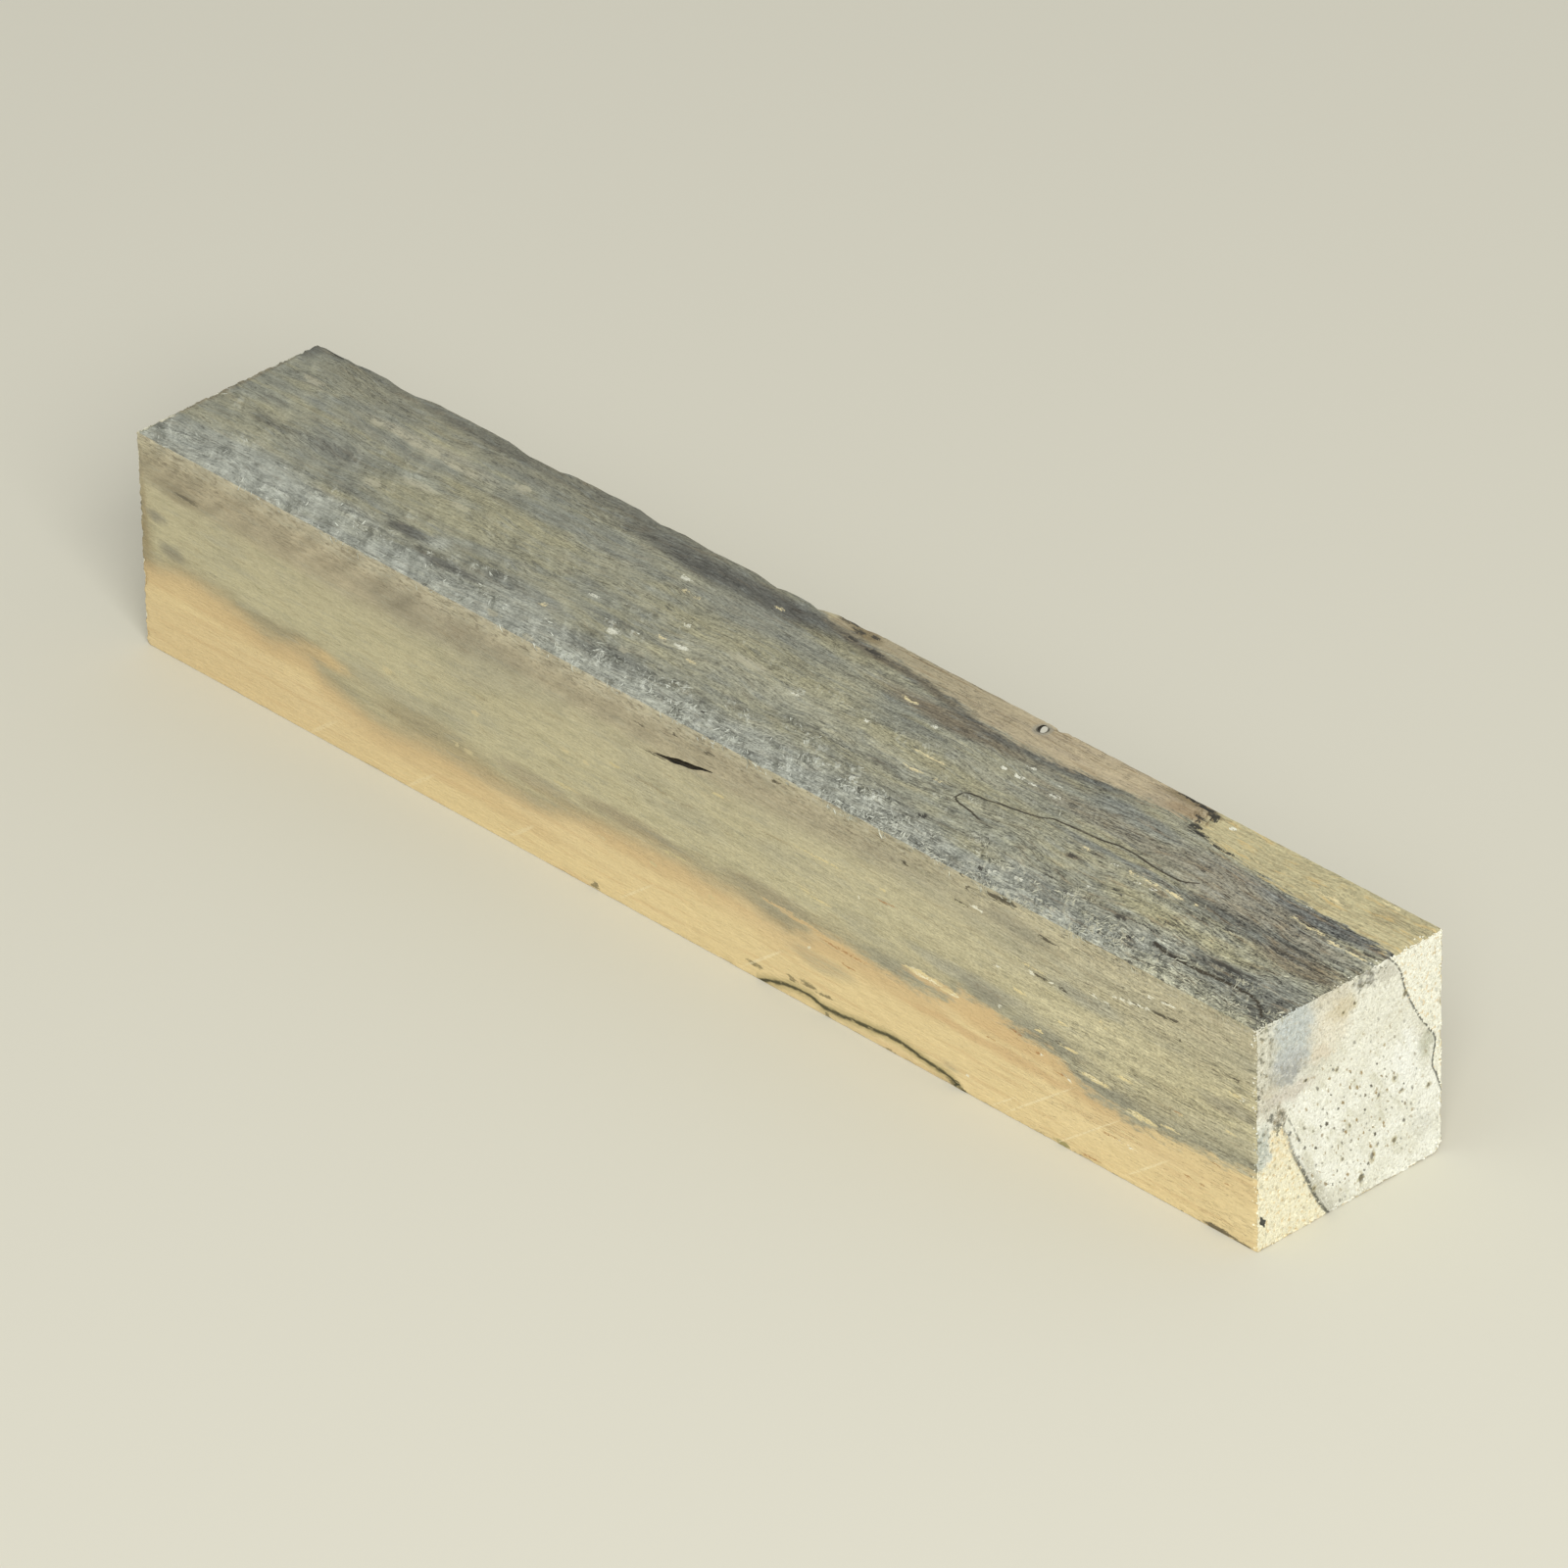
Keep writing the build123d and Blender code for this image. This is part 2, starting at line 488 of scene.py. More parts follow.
# Each patch: its colour, its middle and half size on the two rulers in mm, and its strength
top_patches = (
    (charcoal, (28, 0.6), (32, 1.3), 0.65),
    (charcoal, (24, 2.4), (30, 1.5), 0.32),
    (charcoal, (52, 2.2), (16, 1.5), 0.9),
    (charcoal, (66.0, 3.1), (4.5, 0.8), 0.8),
    (charcoal, (56, 2.9), (12, 1.5), 0.85),
    (slate, (59, 5.4), (12, 1.8), 0.7),
    (olive, (30, 11.0), (14, 2.0), 0.5),
    (slate, (14, 11.4), (5, 1.8), 0.6),
    (charcoal, (14.6, 11.0), (3.4, 1.0), 0.5),
    (charcoal, (7.5, 11.7), (3.0, 0.6), 0.5),
    ((174, 169, 144), (20, 5.4), (9, 0.8), 0.5),
    # Painted shade: a brown rim along the far edge.
    ((140, 122, 88), (0.3, 10.0), (0.9, 10.0), 0.5),
    (charcoal, (0.9, 1.4), (1.4, 1.2), 0.6),
    (olive, (66, 3.4), (6, 1.0), 0.6),
    ((170, 172, 152), (23, 9.4), (3, 0.6), 0.6),
    (olive, (32, 8.0), (9, 1.2), 0.6),
    (slate, (17, 7.0), (9, 0.8), 0.6),
    (silver, (10, 17.2), (11, 2.6), 0.8),
    (charcoal, (27.8, 15.3), (2.6, 0.8), 0.9),
    (charcoal, (33.5, 16.6), (4.6, 0.8), 0.8),
    (charcoal, (38.5, 15.2), (2.4, 0.7), 0.7),
    (silver, (30.5, 18.0), (3.0, 1.3), 0.9),
    (silver, (31.0, 14.8), (1.4, 1.0), 0.7),
    (slate, (41, 15.0), (6.0, 1.2), 0.7),
    (slate, (40, 5.6), (9, 1.3), 0.5),
    (slate, (53, 17.2), (6, 1.3), 0.8),
    (olive, (62, 9.0), (14, 2.6), 0.5),
    ((164, 162, 138), (68, 11.6), (17, 1.8), 0.7),
    (umber, (79, 5.0), (9, 1.2), 0.8),
    (umber, (88, 5.2), (6, 0.9), 0.4),
    (olive, (84, 10.4), (14, 1.4), 0.7),
    ((160, 158, 136), (87, 8.8), (6.5, 0.9), 0.55),
    (mauve, (98, 7.2), (10, 1.3), 0.7),
    (slate, (100, 5.2), (6, 1.2), 0.9),
    (mauve, (112, 6.6), (10, 1.5), 0.9),
    (slate, (103, 10.4), (9, 0.6), 0.9),
    (olive, (104, 9.7), (7, 0.45), 0.8),
    ((158, 158, 136), (92, 14.2), (8, 1.4), 0.6),
    (slate, (101, 17.2), (4.5, 1.0), 0.6),
    (mauve, (110, 5.4), (6, 0.9), 0.6),
    (olive, (109, 13.7), (6, 1.1), 0.9),
    (olive, (94, 16.6), (4, 0.9), 0.5),
    (charcoal, (114, 9.9), (5, 0.6), 0.7),
    ((102, 104, 99), (120.5, 5.8), (9.5, 0.95), 0.9),
    (mauve, (116, 8.4), (12, 1.6), 0.85),
    (charcoal, (119, 10.6), (7, 1.2), 0.6),
    (umber, (123.4, 11.4), (5, 1.6), 0.7),
    (olive, (117, 13.9), (7, 0.9), 0.7),
    (slate, (124, 16.2), (5, 3.0), 0.9),
    (charcoal, (119.2, 15.7), (4.2, 1.0), 0.8),
    (umber, (64.4, 1.0), (3.4, 0.8), 0.8),
    (charcoal, (109, 16.0), (4.0, 0.5), 0.5),
    (umber, (100.2, 12.4), (0.9, 0.35), 0.9),
    ((178, 150, 104), (100, 0.5), (5, 0.5), 0.7),
    (charcoal, (125.6, 17.0), (1.8, 1.8), 0.5),
    ((178, 177, 152), (118.5, 19.2), (8.0, 1.4), 0.85),
)
front_patches = (
    ((170, 158, 131), (20, 2.6), (26, 2.6), 0.7),
    ((168, 157, 131), (62, 2.2), (30, 1.9), 0.6),
    ((188, 180, 153), (32, 0.4), (48, 1.3), 0.65),
    ((190, 182, 150), (108, 1.0), (14, 2.2), 0.5),
    (umber, (4.6, 3.8), (4.6, 0.9), 0.4),
    # Painted shade: a brown rim along the far edge.
    ((132, 112, 76), (0.1, 12.0), (0.8, 9.0), 0.6),
    (warm_grey, (3.6, 9.8), (1.8, 0.7), 0.8),
    (mauve, (1.6, 7.0), (1.3, 0.6), 0.8),
    (mauve, (36, 2.8), (12, 1.8), 0.35),
    ((154, 144, 115), (20, 12.0), (9, 1.2), 0.4),
    ((156, 144, 112), (34, 13.2), (8, 1.3), 0.6),
    ((196, 188, 152), (88, 6.0), (14, 2.4), 0.6),
    (warm_grey, (101, 2.2), (4.5, 1.0), 0.6),
    ((200, 192, 156), (110, 8.0), (9, 1.6), 0.6),
    ((166, 164, 144), (108.5, 5.4), (4.5, 0.9), 0.8),
    ((160, 158, 140), (96, 9.2), (8, 0.9), 0.7),
    (warm_grey, (97.3, 9.9), (2.8, 0.8), 0.9),
    (warm_grey, (104, 10.8), (4.4, 0.8), 0.75),
    (warm_grey, (110.5, 12.8), (3.4, 0.9), 0.8),
    ((150, 147, 126), (88.5, 11.7), (6.0, 0.7), 0.8),
    (mauve, (124, 8.2), (4.0, 0.9), 0.6),
    (warm_grey, (118, 12.2), (9, 1.6), 0.35),
    ((150, 138, 112), (58, 11.9), (8, 0.8), 0.7),
    ((150, 140, 114), (73, 11.5), (6, 0.9), 0.7),
    ((186, 170, 130), (52, 13.3), (9, 0.6), 0.6),
    ((190, 174, 132), (38, 14.2), (9, 0.7), 0.6),
    ((152, 140, 116), (46, 12.7), (5, 0.7), 0.5),
    ((150, 140, 112), (15, 11.6), (6, 0.6), 0.5),
    ((164, 156, 124), (23.0, 13.8), (3.4, 0.8), 0.65),
    ((158, 151, 126), (73.5, 13.0), (4.6, 0.8), 0.75),
    ((206, 182, 134), (21.2, 12.0), (4.0, 0.95), 0.95),
)
sap_patches = (
    (apricot, (12.5, 13.6), (11, 0.9), 0.6),
    ((212, 184, 134), (99.5, 12.4), (7.5, 1.2), 0.9),
    (apricot, (62, 14.4), (14, 0.7), 0.6),
    (apricot, (80, 13.6), (8, 0.6), 0.6),
    ((206, 176, 128), (98, 14.3), (12, 0.5), 0.8),
    (apricot, (115, 15.6), (7, 0.6), 0.3),
    ((176, 166, 134), (79, 15.2), (4, 0.9), 0.6),
    (apricot, (40, 17.2), (20, 0.5), 0.4),
    ((212, 188, 142), (6, 17.5), (30, 3.0), 0.45),
    ((188, 176, 138), (93.4, 18.1), (1.0, 0.4), 0.8),
)
near_patches = (
    ((224, 220, 196), (8.5, 3.5), (12.0, 6.0), 0.35),
    ((194, 200, 195), (3.9, 2.3), (3.4, 3.5), 0.95),
    ((180, 182, 178), (3.4, 4.6), (2.6, 1.3), 0.7),
    ((168, 169, 163), (3.3, 5.5), (2.8, 0.9), 0.9),
    ((204, 200, 178), (0.9, 3.0), (1.5, 4.4), 0.8),
    ((204, 196, 172), (1.2, 6.4), (1.4, 0.9), 0.7),
    ((229, 221, 197), (7.8, 3.2), (2.6, 2.4), 0.7),
    ((212, 201, 170), (9.2, 2.2), (1.8, 1.2), 0.85),
    ((206, 197, 172), (8.0, 0.6), (2.6, 0.9), 0.7),
    ((206, 202, 182), (6.4, 5.6), (2.0, 1.2), 0.4),
    ((221, 209, 184), (6.8, 5.2), (1.4, 0.9), 0.7),
    ((160, 158, 146), (11.6, 0.7), (1.7, 0.9), 0.95),
    ((196, 192, 174), (14.0, 1.2), (1.2, 1.0), 0.7),
    ((206, 198, 182), (3.4, 7.2), (3.2, 0.9), 0.8),
    ((172, 164, 142), (2.3, 8.9), (0.8, 1.4), 0.95),
    ((198, 192, 172), (0.7, 7.6), (1.2, 1.0), 0.7),
    ((184, 189, 176), (0.5, 10.9), (1.3, 2.2), 0.85),
    ((194, 194, 172), (18.2, 9.6), (1.0, 1.3), 0.9),
    ((212, 208, 186), (17.4, 8.0), (0.8, 1.4), 0.5),
    ((212, 209, 189), (9.0, 18.6), (1.6, 0.9), 0.6),
    ((218, 217, 202), (17.8, 16.6), (1.4, 1.4), 0.6),
    ((222, 220, 200), (12.2, 13.4), (3.0, 2.0), 0.45),
    ((245, 246, 236), (16.3, 10.0), (1.6, 3.0), 0.6),
)
knot_patches = (
    ((118, 104, 74), (100.6, 0.5), (3.0, 0.6), 0.8),
    ((150, 128, 96), (101.5, 1.8), (2.4, 0.9), 0.6),
    ((112, 98, 68), (63.0, 0.3), (2.0, 0.6), 0.85),
    ((120, 106, 74), (65.4, 1.0), (2.2, 0.7), 0.8),
    ((128, 116, 90), (86, 0.1), (13, 0.24), 0.6),
    ((196, 188, 150), (60.2, 0.9), (1.8, 1.0), 0.7),
)
sapwood_edge = (
    (0, 12.3), (6, 11.4), (11, 12.0), (15, 12.9), (18, 12.5), (19.8, 12.6), (21, 13.8), (24, 14.7),
    (29, 15.5), (36, 15.0), (46, 15.1), (50.5, 14.2), (54, 13.6), (62, 13.1), (70, 13.1),
    (74, 13.8), (76.8, 13.5), (80, 12.3), (86, 12.7), (93, 12.6), (94.4, 10.9), (99, 11.2),
    (104.5, 11.9), (107, 13.0), (110, 13.8), (114, 14.2), (120, 13.6), (length, 13.2),
)
clean_edge = (
    (0, 0), (57.5, 0), (59, 0.4), (61, 0.9), (66.4, 1.9), (71.7, 2.2), (76.9, 2.9), (79.5, 3.5),
    (85, 4.0), (88.9, 3.8), (92.8, 3.4), (96.7, 3.0), (100.6, 2.8), (103.0, 2.5), (103.9, 3.0),
    (105.2, 3.5), (108.5, 3.95), (113.7, 4.5), (116.3, 4.9), (120.2, 5.1), (124.1, 5.3),
    (length, 5.5),
)
near_right_line = (
    (0, 14.1), (0.9, 14.9), (2.0, 15.5), (3.5, 15.9), (5.3, 16.7), (6.8, 17.5), (8.3, 18.5),
    (9.7, 19.2), (10.4, 19.1), (11.7, 18.9), (12.7, 19.3), (14.6, 20.0),
)
near_left_line = (
    (8.6, 2.9), (9.6, 2.7), (11.0, 3.3), (13.0, 4.0), (15.0, 5.0), (17.2, 6.0), (18.7, 6.8),
    (20, 7.7),
)


def top_stain(along, across):
    """The top's stained tone, its clean tone, and how many mm a place lies past the border."""
    place = at(along, across)
    wide = noise(place, (0.07, 0.3), 1, 3)
    fine = noise(place, (0.16, 1.1), 2, 3)
    past = course(along, clean_edge, width) - across
    across = across + (noise(place, (0.12, 0.35), 3, 2) - 0.5) * 1.2
    colour = mix((137, 138, 122), (154, 152, 128), step(wide, 0.35, 0.6))
    colour = mix(colour, olive, step(fine, 0.5, 0.72) * 0.55)
    colour = mix(colour, charcoal, step(fine, 0.42, 0.26) * 0.4)
    silver_side = step(across + (wide - 0.5) * 8, 15.0, 18.5)
    colour = mix(colour, silver, silver_side * step(along, 124, 112) * 0.8)
    colour = patched(colour, along, across, top_patches)
    dark_band = step(along, 60, 66) * step(along, 104, 93) * step(abs(past + 0.4), 0.9, 0.1)
    band_colour = mix((98, 91, 74), charcoal, step(along, 76, 86))
    colour = mix(colour, band_colour, dark_band * 0.9)
    clean = mix(pink_tan, (160, 148, 124), step(fine, 0.48, 0.68) * 0.6)
    clean = mix(clean, (158, 149, 121), step(along + (fine - 0.5) * 10, 92, 70) * 0.75)
    clean = patched(clean, along, across, knot_patches)
    straw_tone = mix(straw, (174, 166, 128), step(along, 108, 121) * step(across, 2.6, 0.6) * 0.8)
    return colour, mix(clean, straw_tone, step(along, 103.0, 104.2)), past


def front_stain(along, across):
    place = at(along, across)
    wide = noise(place, (0.06, 0.25), 4, 3)
    fine = noise(place, (0.2, 1.3), 5, 3)
    across = across + (noise(place, (0.3, 0.6), 6, 3) - 0.5) * 0.9
    past = across - course(along, sapwood_edge, height)
    colour = mix((178, 170, 141), (191, 183, 147), step(across, 0, 9))
    colour = mix(colour, (172, 167, 141), step(wide, 0.48, 0.7) * 0.6)
    colour = mix(colour, olive, step(fine, 0.52, 0.75) * 0.35)
    colour = patched(colour, along, across, front_patches)
    rim_of_stain = step(past, -2.4, -0.6) * (0.5 + step(along, 90, 112) * 0.3 + (wide - 0.5))
    rim_colour = mix((160, 149, 117), (150, 148, 127), step(along, 76, 92))
    colour = mix(colour, rim_colour, rim_of_stain)
    sap = mix(apricot, (224, 203, 152), most(step(past, 0.2, 3.2), step(along, 108, 118) * 0.75))
    sap = mix(sap, (229, 209, 160), step(wide, 0.5, 0.7) * 0.5)
    return colour, patched(sap, along, across, sap_patches), past


def near_stain(across, down):
    place = at(across, down)
    wide = noise(place, (0.35, 0.35), 7, 4)
    fine = noise(place, (1.3, 1.3), 8, 4, 0.65)
    across_patch = across + (wide - 0.5) * 1.4 + (fine - 0.5) * 1.6
    down_patch = down + (fine - 0.5) * 2.2
    colour = mix((233, 232, 215), (244, 244, 230), step(wide, 0.35, 0.6))
    colour = patched(colour, across_patch, down_patch, near_patches)
    left_of = course(down, near_left_line, width) - across
    corner = least(left_of, down - 9.6)
    corner = least(corner, most(across_patch - 1.5, down_patch - 12.6))
    right_of = least(across - course(down, near_right_line, width), 14.8 - down)
    orange = step(down + (fine - 0.5) * 3, 14.5, 11.0)
    clean = mix((241, 235, 204), (234, 214, 168), orange * step(fine, 0.4, 0.66))
    clean = mix(clean, (243, 242, 223), across > 10)
    return colour, clean, most(corner, right_of)


def back_stain(along, down):
    place = at(along, down)
    wide = noise(place, (0.05, 0.22), 9, 3)
    fine = noise(place, (0.18, 1.2), 10, 3)
    down = down + (noise(place, (0.12, 0.4), 11, 3) - 0.5) * 2.4
    clean = mix((208, 194, 152), (222, 208, 168), step(wide, 0.35, 0.65))
    clean = mix(clean, straw, step(fine, 0.5, 0.75) * 0.5)
    clean = mix(clean, pink_tan, step(down, 5.5, 3.5) * step(along, 108, 100) * 0.8)
    stained = mix((166, 162, 140), (132, 130, 114), step(down, 9, 6))
    lower = least(down - 11.5, (112 - along) * 0.12)
    upper = least(5.4 - down, (60 - along) * 0.12)
    return stained, clean, 0.0 - most(lower, upper)


def under_stain(along, across):
    place = at(along, across)
    wide = noise(place, (0.05, 0.22), 12, 3)
    fine = noise(place, (0.18, 1.2), 13, 3)
    across = across + (noise(place, (0.12, 0.4), 14, 3) - 0.5) * 2.6
    clean = mix((214, 200, 162), (228, 214, 178), step(wide, 0.35, 0.65))
    clean = mix(clean, apricot, step(fine, 0.5, 0.75) * 0.4)
    clean = mix(clean, cream, step(across, 11.0, 14.0) * 0.8)
    stained = mix((160, 158, 138), (140, 138, 122), step(fine, 0.45, 0.65))
    return stained, clean, most(abs(across - 6.2) - 3.8, (along - 96) * 0.12)


def far_stain(across, down):
    place = at(across, down)
    wide = noise(place, (0.3, 0.3), 15, 4)
    fine = noise(place, (1.2, 1.2), 16, 3)
    across = across + (wide - 0.5) * 1.6
    down = down + (fine - 0.5) * 1.2
    colour = mix((206, 202, 178), (224, 220, 196), step(wide, 0.35, 0.62))
    stained = step(across + down * 0.35, 17.5, 15.0) * step(down, 13.5, 10.5)
    colour = mix(colour, (170, 172, 158), stained * 0.7)
    clean = mix((232, 216, 172), ivory, step(wide, 0.4, 0.6))
    return colour, clean, down + across * 0.15 - 14.6


stains = {
    "top": top_stain,
    "front": front_stain,
    "back": back_stain,
    "under": under_stain,
    "near": near_stain,
    "far": far_stain,
}


def fuzz(along, across):
    """Where the saw has torn the top face into fuzz, 0 to 1: most along the front arris."""
    drift = noise(at(along, across), (0.12, 0.4), 91, 3, 0.6)
    clumps = noise(at(along, across), (0.4, 0.8), 92, 2)
    band = step(across + (drift - 0.5) * 12, 14.0, 18.5)
    back_side = step(across, 5.5, 9.0)
    torn = back_side * (0.04 + 0.36 * step(drift, 0.5, 0.68)) + 0.62 * band
    return torn * (0.45 + 0.85 * step(clumps, 0.38, 0.62))


def store(skin, name, value, kind="FLOAT"):
    """Keeps a value or a colour on the points of a skin, under a name."""
    return skin.add(
        "GeometryNodeStoreNamedAttribute",
        {"data_type": kind, "domain": "POINT"},
        {"Geometry": skin, "Name": name, "Value": value},
    )


seen_shift = {"top": (0.55, 0.15), "front": (-0.35, -0.15)}


def seen_on(side, rulers):
    """The two rulers of a side, read where the camera saw the marks on the skin."""
    along, across = rulers[side][:2]
    if side in seen_shift:
        add_along, add_across = seen_shift[side]
        return along + add_along, across + add_across
    return along, across


def stained(skin, side, rulers):
    """Lays the tones of one side on a skin, under its name."""
    stain, clean, past = stains[side](*seen_on(side, rulers))
    skin = store(skin, side + "_stain", stain, "FLOAT_COLOR")
    skin = store(skin, side + "_clean", clean, "FLOAT_COLOR")
    return store(skin, side + "_past", past)


start, skin = geometry_tree("stain")
rulers = sides(start.add("GeometryNodeInputPosition"))[1]
for side in stains:
    skin = stained(skin, side, rulers)
skin = store(skin, "fuzz", fuzz(*rulers["top"][:2]))
finish_with(stick, skin)

# Long grain on the four ripped faces
# Fine fibres run the length of the stick. Open pores show among them as thin dark streaks, and
# what has filled them as cream beads and gold flecks. Black zone lines, where two fungi met,
# wander through the stained wood.


def shader_tree(finish):
    """Empties a finish: its start, and where a place lies in mm and on the rulers of each side."""
    finish.use_nodes = True
    finish.node_tree.nodes.clear()
    start = Field(finish.node_tree)
    return start, *sides(start.add("ShaderNodeTexCoord", output="Object"))


def painted(start, name, output="Color"):
    """What has been stored on the skin under a name: a colour, or a value from Fac."""
    return start.add("ShaderNodeAttribute", {"attribute_name": name}, output=output)


def side_tree(side):
    """Starts a finish: the stained tone, the clean tone, mm past the border, and both rulers."""
    start, _, rulers = shader_tree(finishes[side])
    stain, clean = (painted(start, f"{side}_{tone}") for tone in ("stain", "clean"))
    return stain, clean, painted(start, side + "_past", "Fac"), *seen_on(side, rulers)


def lit(colour, amount):
    """A colour made lighter or darker by an amount, 1 leaving it alone."""
    return vectors("SCALE", colour, amount)


def sharpness(along):
    """How sharply marks stand out, 0.55 far off to 1 near by."""
    return 0.55 + step(along, 20, 95) * 0.45


def long_grain(place, seed):
    """Growth streaks, fibres, the nap off the saw and the slow drift of tone, as four noises."""
    streak = noise(place, (0.08, 1.3), seed, 4, 0.6)
    fibre = noise(place, (0.8, 6.5), seed + 1, 3, 0.6)
    nap = noise(place, (3.2, 5.6), seed + 2, 2, 0.6)
    drift = noise(place, (0.25, 1.7), seed + 3, 4, 0.65)
    return streak, fibre, nap, drift


def marks(place, spots):
    """Cover, 0 to 1, of long oval marks, each (along, across, half length, half width) in mm."""
    nearest = None
    for along, across, half_along, half_across in spots:
        scale = (1 / half_along, 1 / half_across, 0)
        away = (-along / half_along, -across / half_across, 0)
        reach = vectors("MULTIPLY_ADD", place, scale, away)
        reach = vectors("LENGTH", reach, output="Value")
        nearest = reach if nearest is None else least(nearest, reach)
    return step(nearest, 1.2, 0.6)


def line_along(along, across, points, half_width, span):
    """Cover of a thin line that follows a course from its first point to its last."""
    inside = (along > points[0][0]) * (along < points[-1][0])
    aside = abs(across - course(along, points, span))
    return inside * step(aside, half_width * 1.5, half_width * 0.3)


def finish_wood(tone, height, roughness):
    """Ends a finish, with the height of its fine relief in mm."""
    bump = tone.add("ShaderNodeBump", None, {"Strength": 1.0, "Distance": mm, "Height": height})
    wood = tone.add(
        "ShaderNodeBsdfPrincipled",
        None,
        {"Base Color": tone, "Roughness": roughness, "Normal": bump},
    )
    tone.add("ShaderNodeOutputMaterial", None, {0: wood})


def grained(tone, streak, fibre, nap, contrast):
    """A tone with the light and dark of growth streaks, fibres and the fine nap off the saw."""
    light = (streak - 0.5) * 0.9 + (fibre - 0.5) * 1.4 + (nap - 0.5) * 1.1
    return lit(tone, 1 + light * contrast)


def open_pores(place, seed):
    """Cover of thin open pores that lie along the grain in loose flocks."""
    thin = noise(place, (0.8, 7.5), seed, 2, 0.6)
    flock = noise(place, (0.1, 0.45), seed + 1, 2)
    return step(thin + (flock - 0.5) * 0.5, 0.64, 0.74)


gallery_on_top = (85.35, 1.15, 0)
gallery_on_back = (83.96, 1.1, 0)
black = (42, 42, 34)
brown_black = (74, 64, 46)
soft_brown = (130, 108, 74)
blue_grey = (134, 138, 130)
gold = (226, 212, 164)
pale_gold = (216, 203, 152)
bead_white = (228, 228, 208)
rust = (166, 120, 70)
# The next two fibre colours are pale fibre with a painted highlight, and the grey after them is
# painted shade between fibres.
silver_fibre_sheen = (214, 217, 202)
worn_fibre_sheen = (206, 203, 174)
fibre_shade_grey = (86, 87, 74)

zone_upper = (
    (87.55, 12.4), (87.75, 11.8), (88.5, 11.55), (89.7, 11.4), (91, 11.06), (92.8, 10.75),
    (94.6, 10.2), (95.3, 9.75), (96.2, 9.66), (98, 9.47), (100.1, 9.32), (102.0, 8.92),
    (103.8, 9.0), (105.8, 9.24), (107.9, 9.28), (108.8, 9.14), (109.4, 8.77), (109.8, 8.4),
)
zone_lower = (
    (87.55, 12.4), (87.75, 12.85), (88.2, 13.1), (89.7, 13.35), (91.2, 13.75), (93.4, 14.0),
)
dark_course = (
    (113.1, 16.6), (114.2, 16.95), (117.5, 17.05), (121.5, 16.75), (124.6, 17.1), (126.3, 18.4),
)

stain, clean, past, along, across = side_tree("top")
meander = (noise(at(along, across), (0.07, 0.14), 100, 2) - 0.5) * 3
place = at(along, across)
drawn = at(along, across + meander)
fuzzy = painted(stain, "fuzz", "Fac")
sharp = sharpness(along)
near_end = step(along, 98, 120)
clear = step(along, 34, 84)
streak = noise(drawn, (0.1, 1.5), 101, 4, 0.6)
fibre = noise(drawn, (0.8, 5.6), 102, 3, 0.65)
nap = noise(place, (3.4, 6.0), 103, 2, 0.6)
drift = noise(drawn, (0.28, 2.0), 104, 4, 0.65)
stain = mix(stain, soft_brown, step(drift, 0.53, 0.72) * (0.15 + step(along, 84, 112) * 0.3))
stain = mix(stain, blue_grey, step(drift, 0.47, 0.3) * 0.4)
stain = grained(stain, streak, fibre, nap, sharp * 1.2 + near_end * 0.7)
pores = open_pores(drawn, 105)
stain = mix(stain, brown_black, pores * (0.28 + step(along, 78, 108) * 0.42) * sharp)
torn = turned(along, across, *saw_lean)
tufts = noise(torn, (1.2, 3.0), 107, 4, 0.7)
lumps = noise(torn, (0.26, 0.9), 110, 3)
tufted = 0.5 + (tufts - 0.5) * (0.55 + clear * 0.45) + (lumps - 0.5) * (0.8 - clear * 0.3)
stain = lit(stain, 1 + (lumps - 0.5) * (fuzzy * (0.4 + clear * 0.5) + (1 - clear) * 0.4))
# Painted shade in the gaps between the torn tufts, and on their tops pale fibre colour with a
# painted highlight.
stain = mix(stain, fibre_shade_grey, step(tufted, 0.47, 0.33) * fuzzy * (0.45 + clear * 0.35))
fibre_tone_and_sheen = mix(silver_fibre_sheen, worn_fibre_sheen, step(along, 78, 108))
stain = mix(stain, fibre_tone_and_sheen, step(tufted, 0.54, 0.68) * fuzzy * (0.5 + clear * 0.4))
sparkle = step(noise(place, (1.3, 4.5), 108, 2), 0.6, 0.72)
on_straw = step(along, 103, 105)
clean = grained(clean, streak, fibre, nap, 0.4 + on_straw * 0.2)
brown_lines = step(noise(place, (0.16, 3.6), 109, 2), 0.56, 0.68)
clean = mix(clean, soft_brown, brown_lines * (0.35 + step(across, 1.2, 0.2) * 0.4 * (1 - on_straw)))
clean = mix(clean, (208, 182, 122), step(drift, 0.54, 0.7) * on_straw * 0.65)
clean = mix(clean, (158, 146, 108), step(drift, 0.46, 0.32) * on_straw * 0.45)
clean = mix(clean, (214, 198, 150), sparkle * (0.1 + on_straw * 0.45))
border = past + (drift - 0.5) * 2.0 + (fibre - 0.5) * 0.8
softness = 1 + step(along, 102, 84) * 2.0
tone = mix(stain, clean, step(border / softness, -0.15, 0.25))
ragged = at(along + (tufts - 0.5) * 2.0, across + (fibre - 0.5) * 0.8 + (nap - 0.5) * 0.3)
pale_marks = (
    (5.0, 4.7, 1.3, 0.5), (13.6, 5.6, 0.8, 0.4), (16.0, 5.5, 1.0, 0.4), (18.2, 5.8, 1.0, 0.35),
    (20.3, 5.6, 0.8, 0.4), (23.3, 6.0, 1.2, 0.35), (25.2, 5.9, 0.9, 0.4), (23.4, 9.9, 2.0, 0.5),
    (28.0, 9.9, 1.0, 0.4), (29.6, 4.4, 0.8, 0.5), (20.3, 12.2, 0.9, 0.6), (41.8, 19.0, 0.9, 0.4),
    (46.6, 19.6, 0.7, 0.4), (53.4, 15.6, 0.6, 0.4), (62.0, 10.2, 2.4, 0.5),
)
tone = mix(tone, (186, 181, 154), marks(ragged, pale_marks) * 0.55)
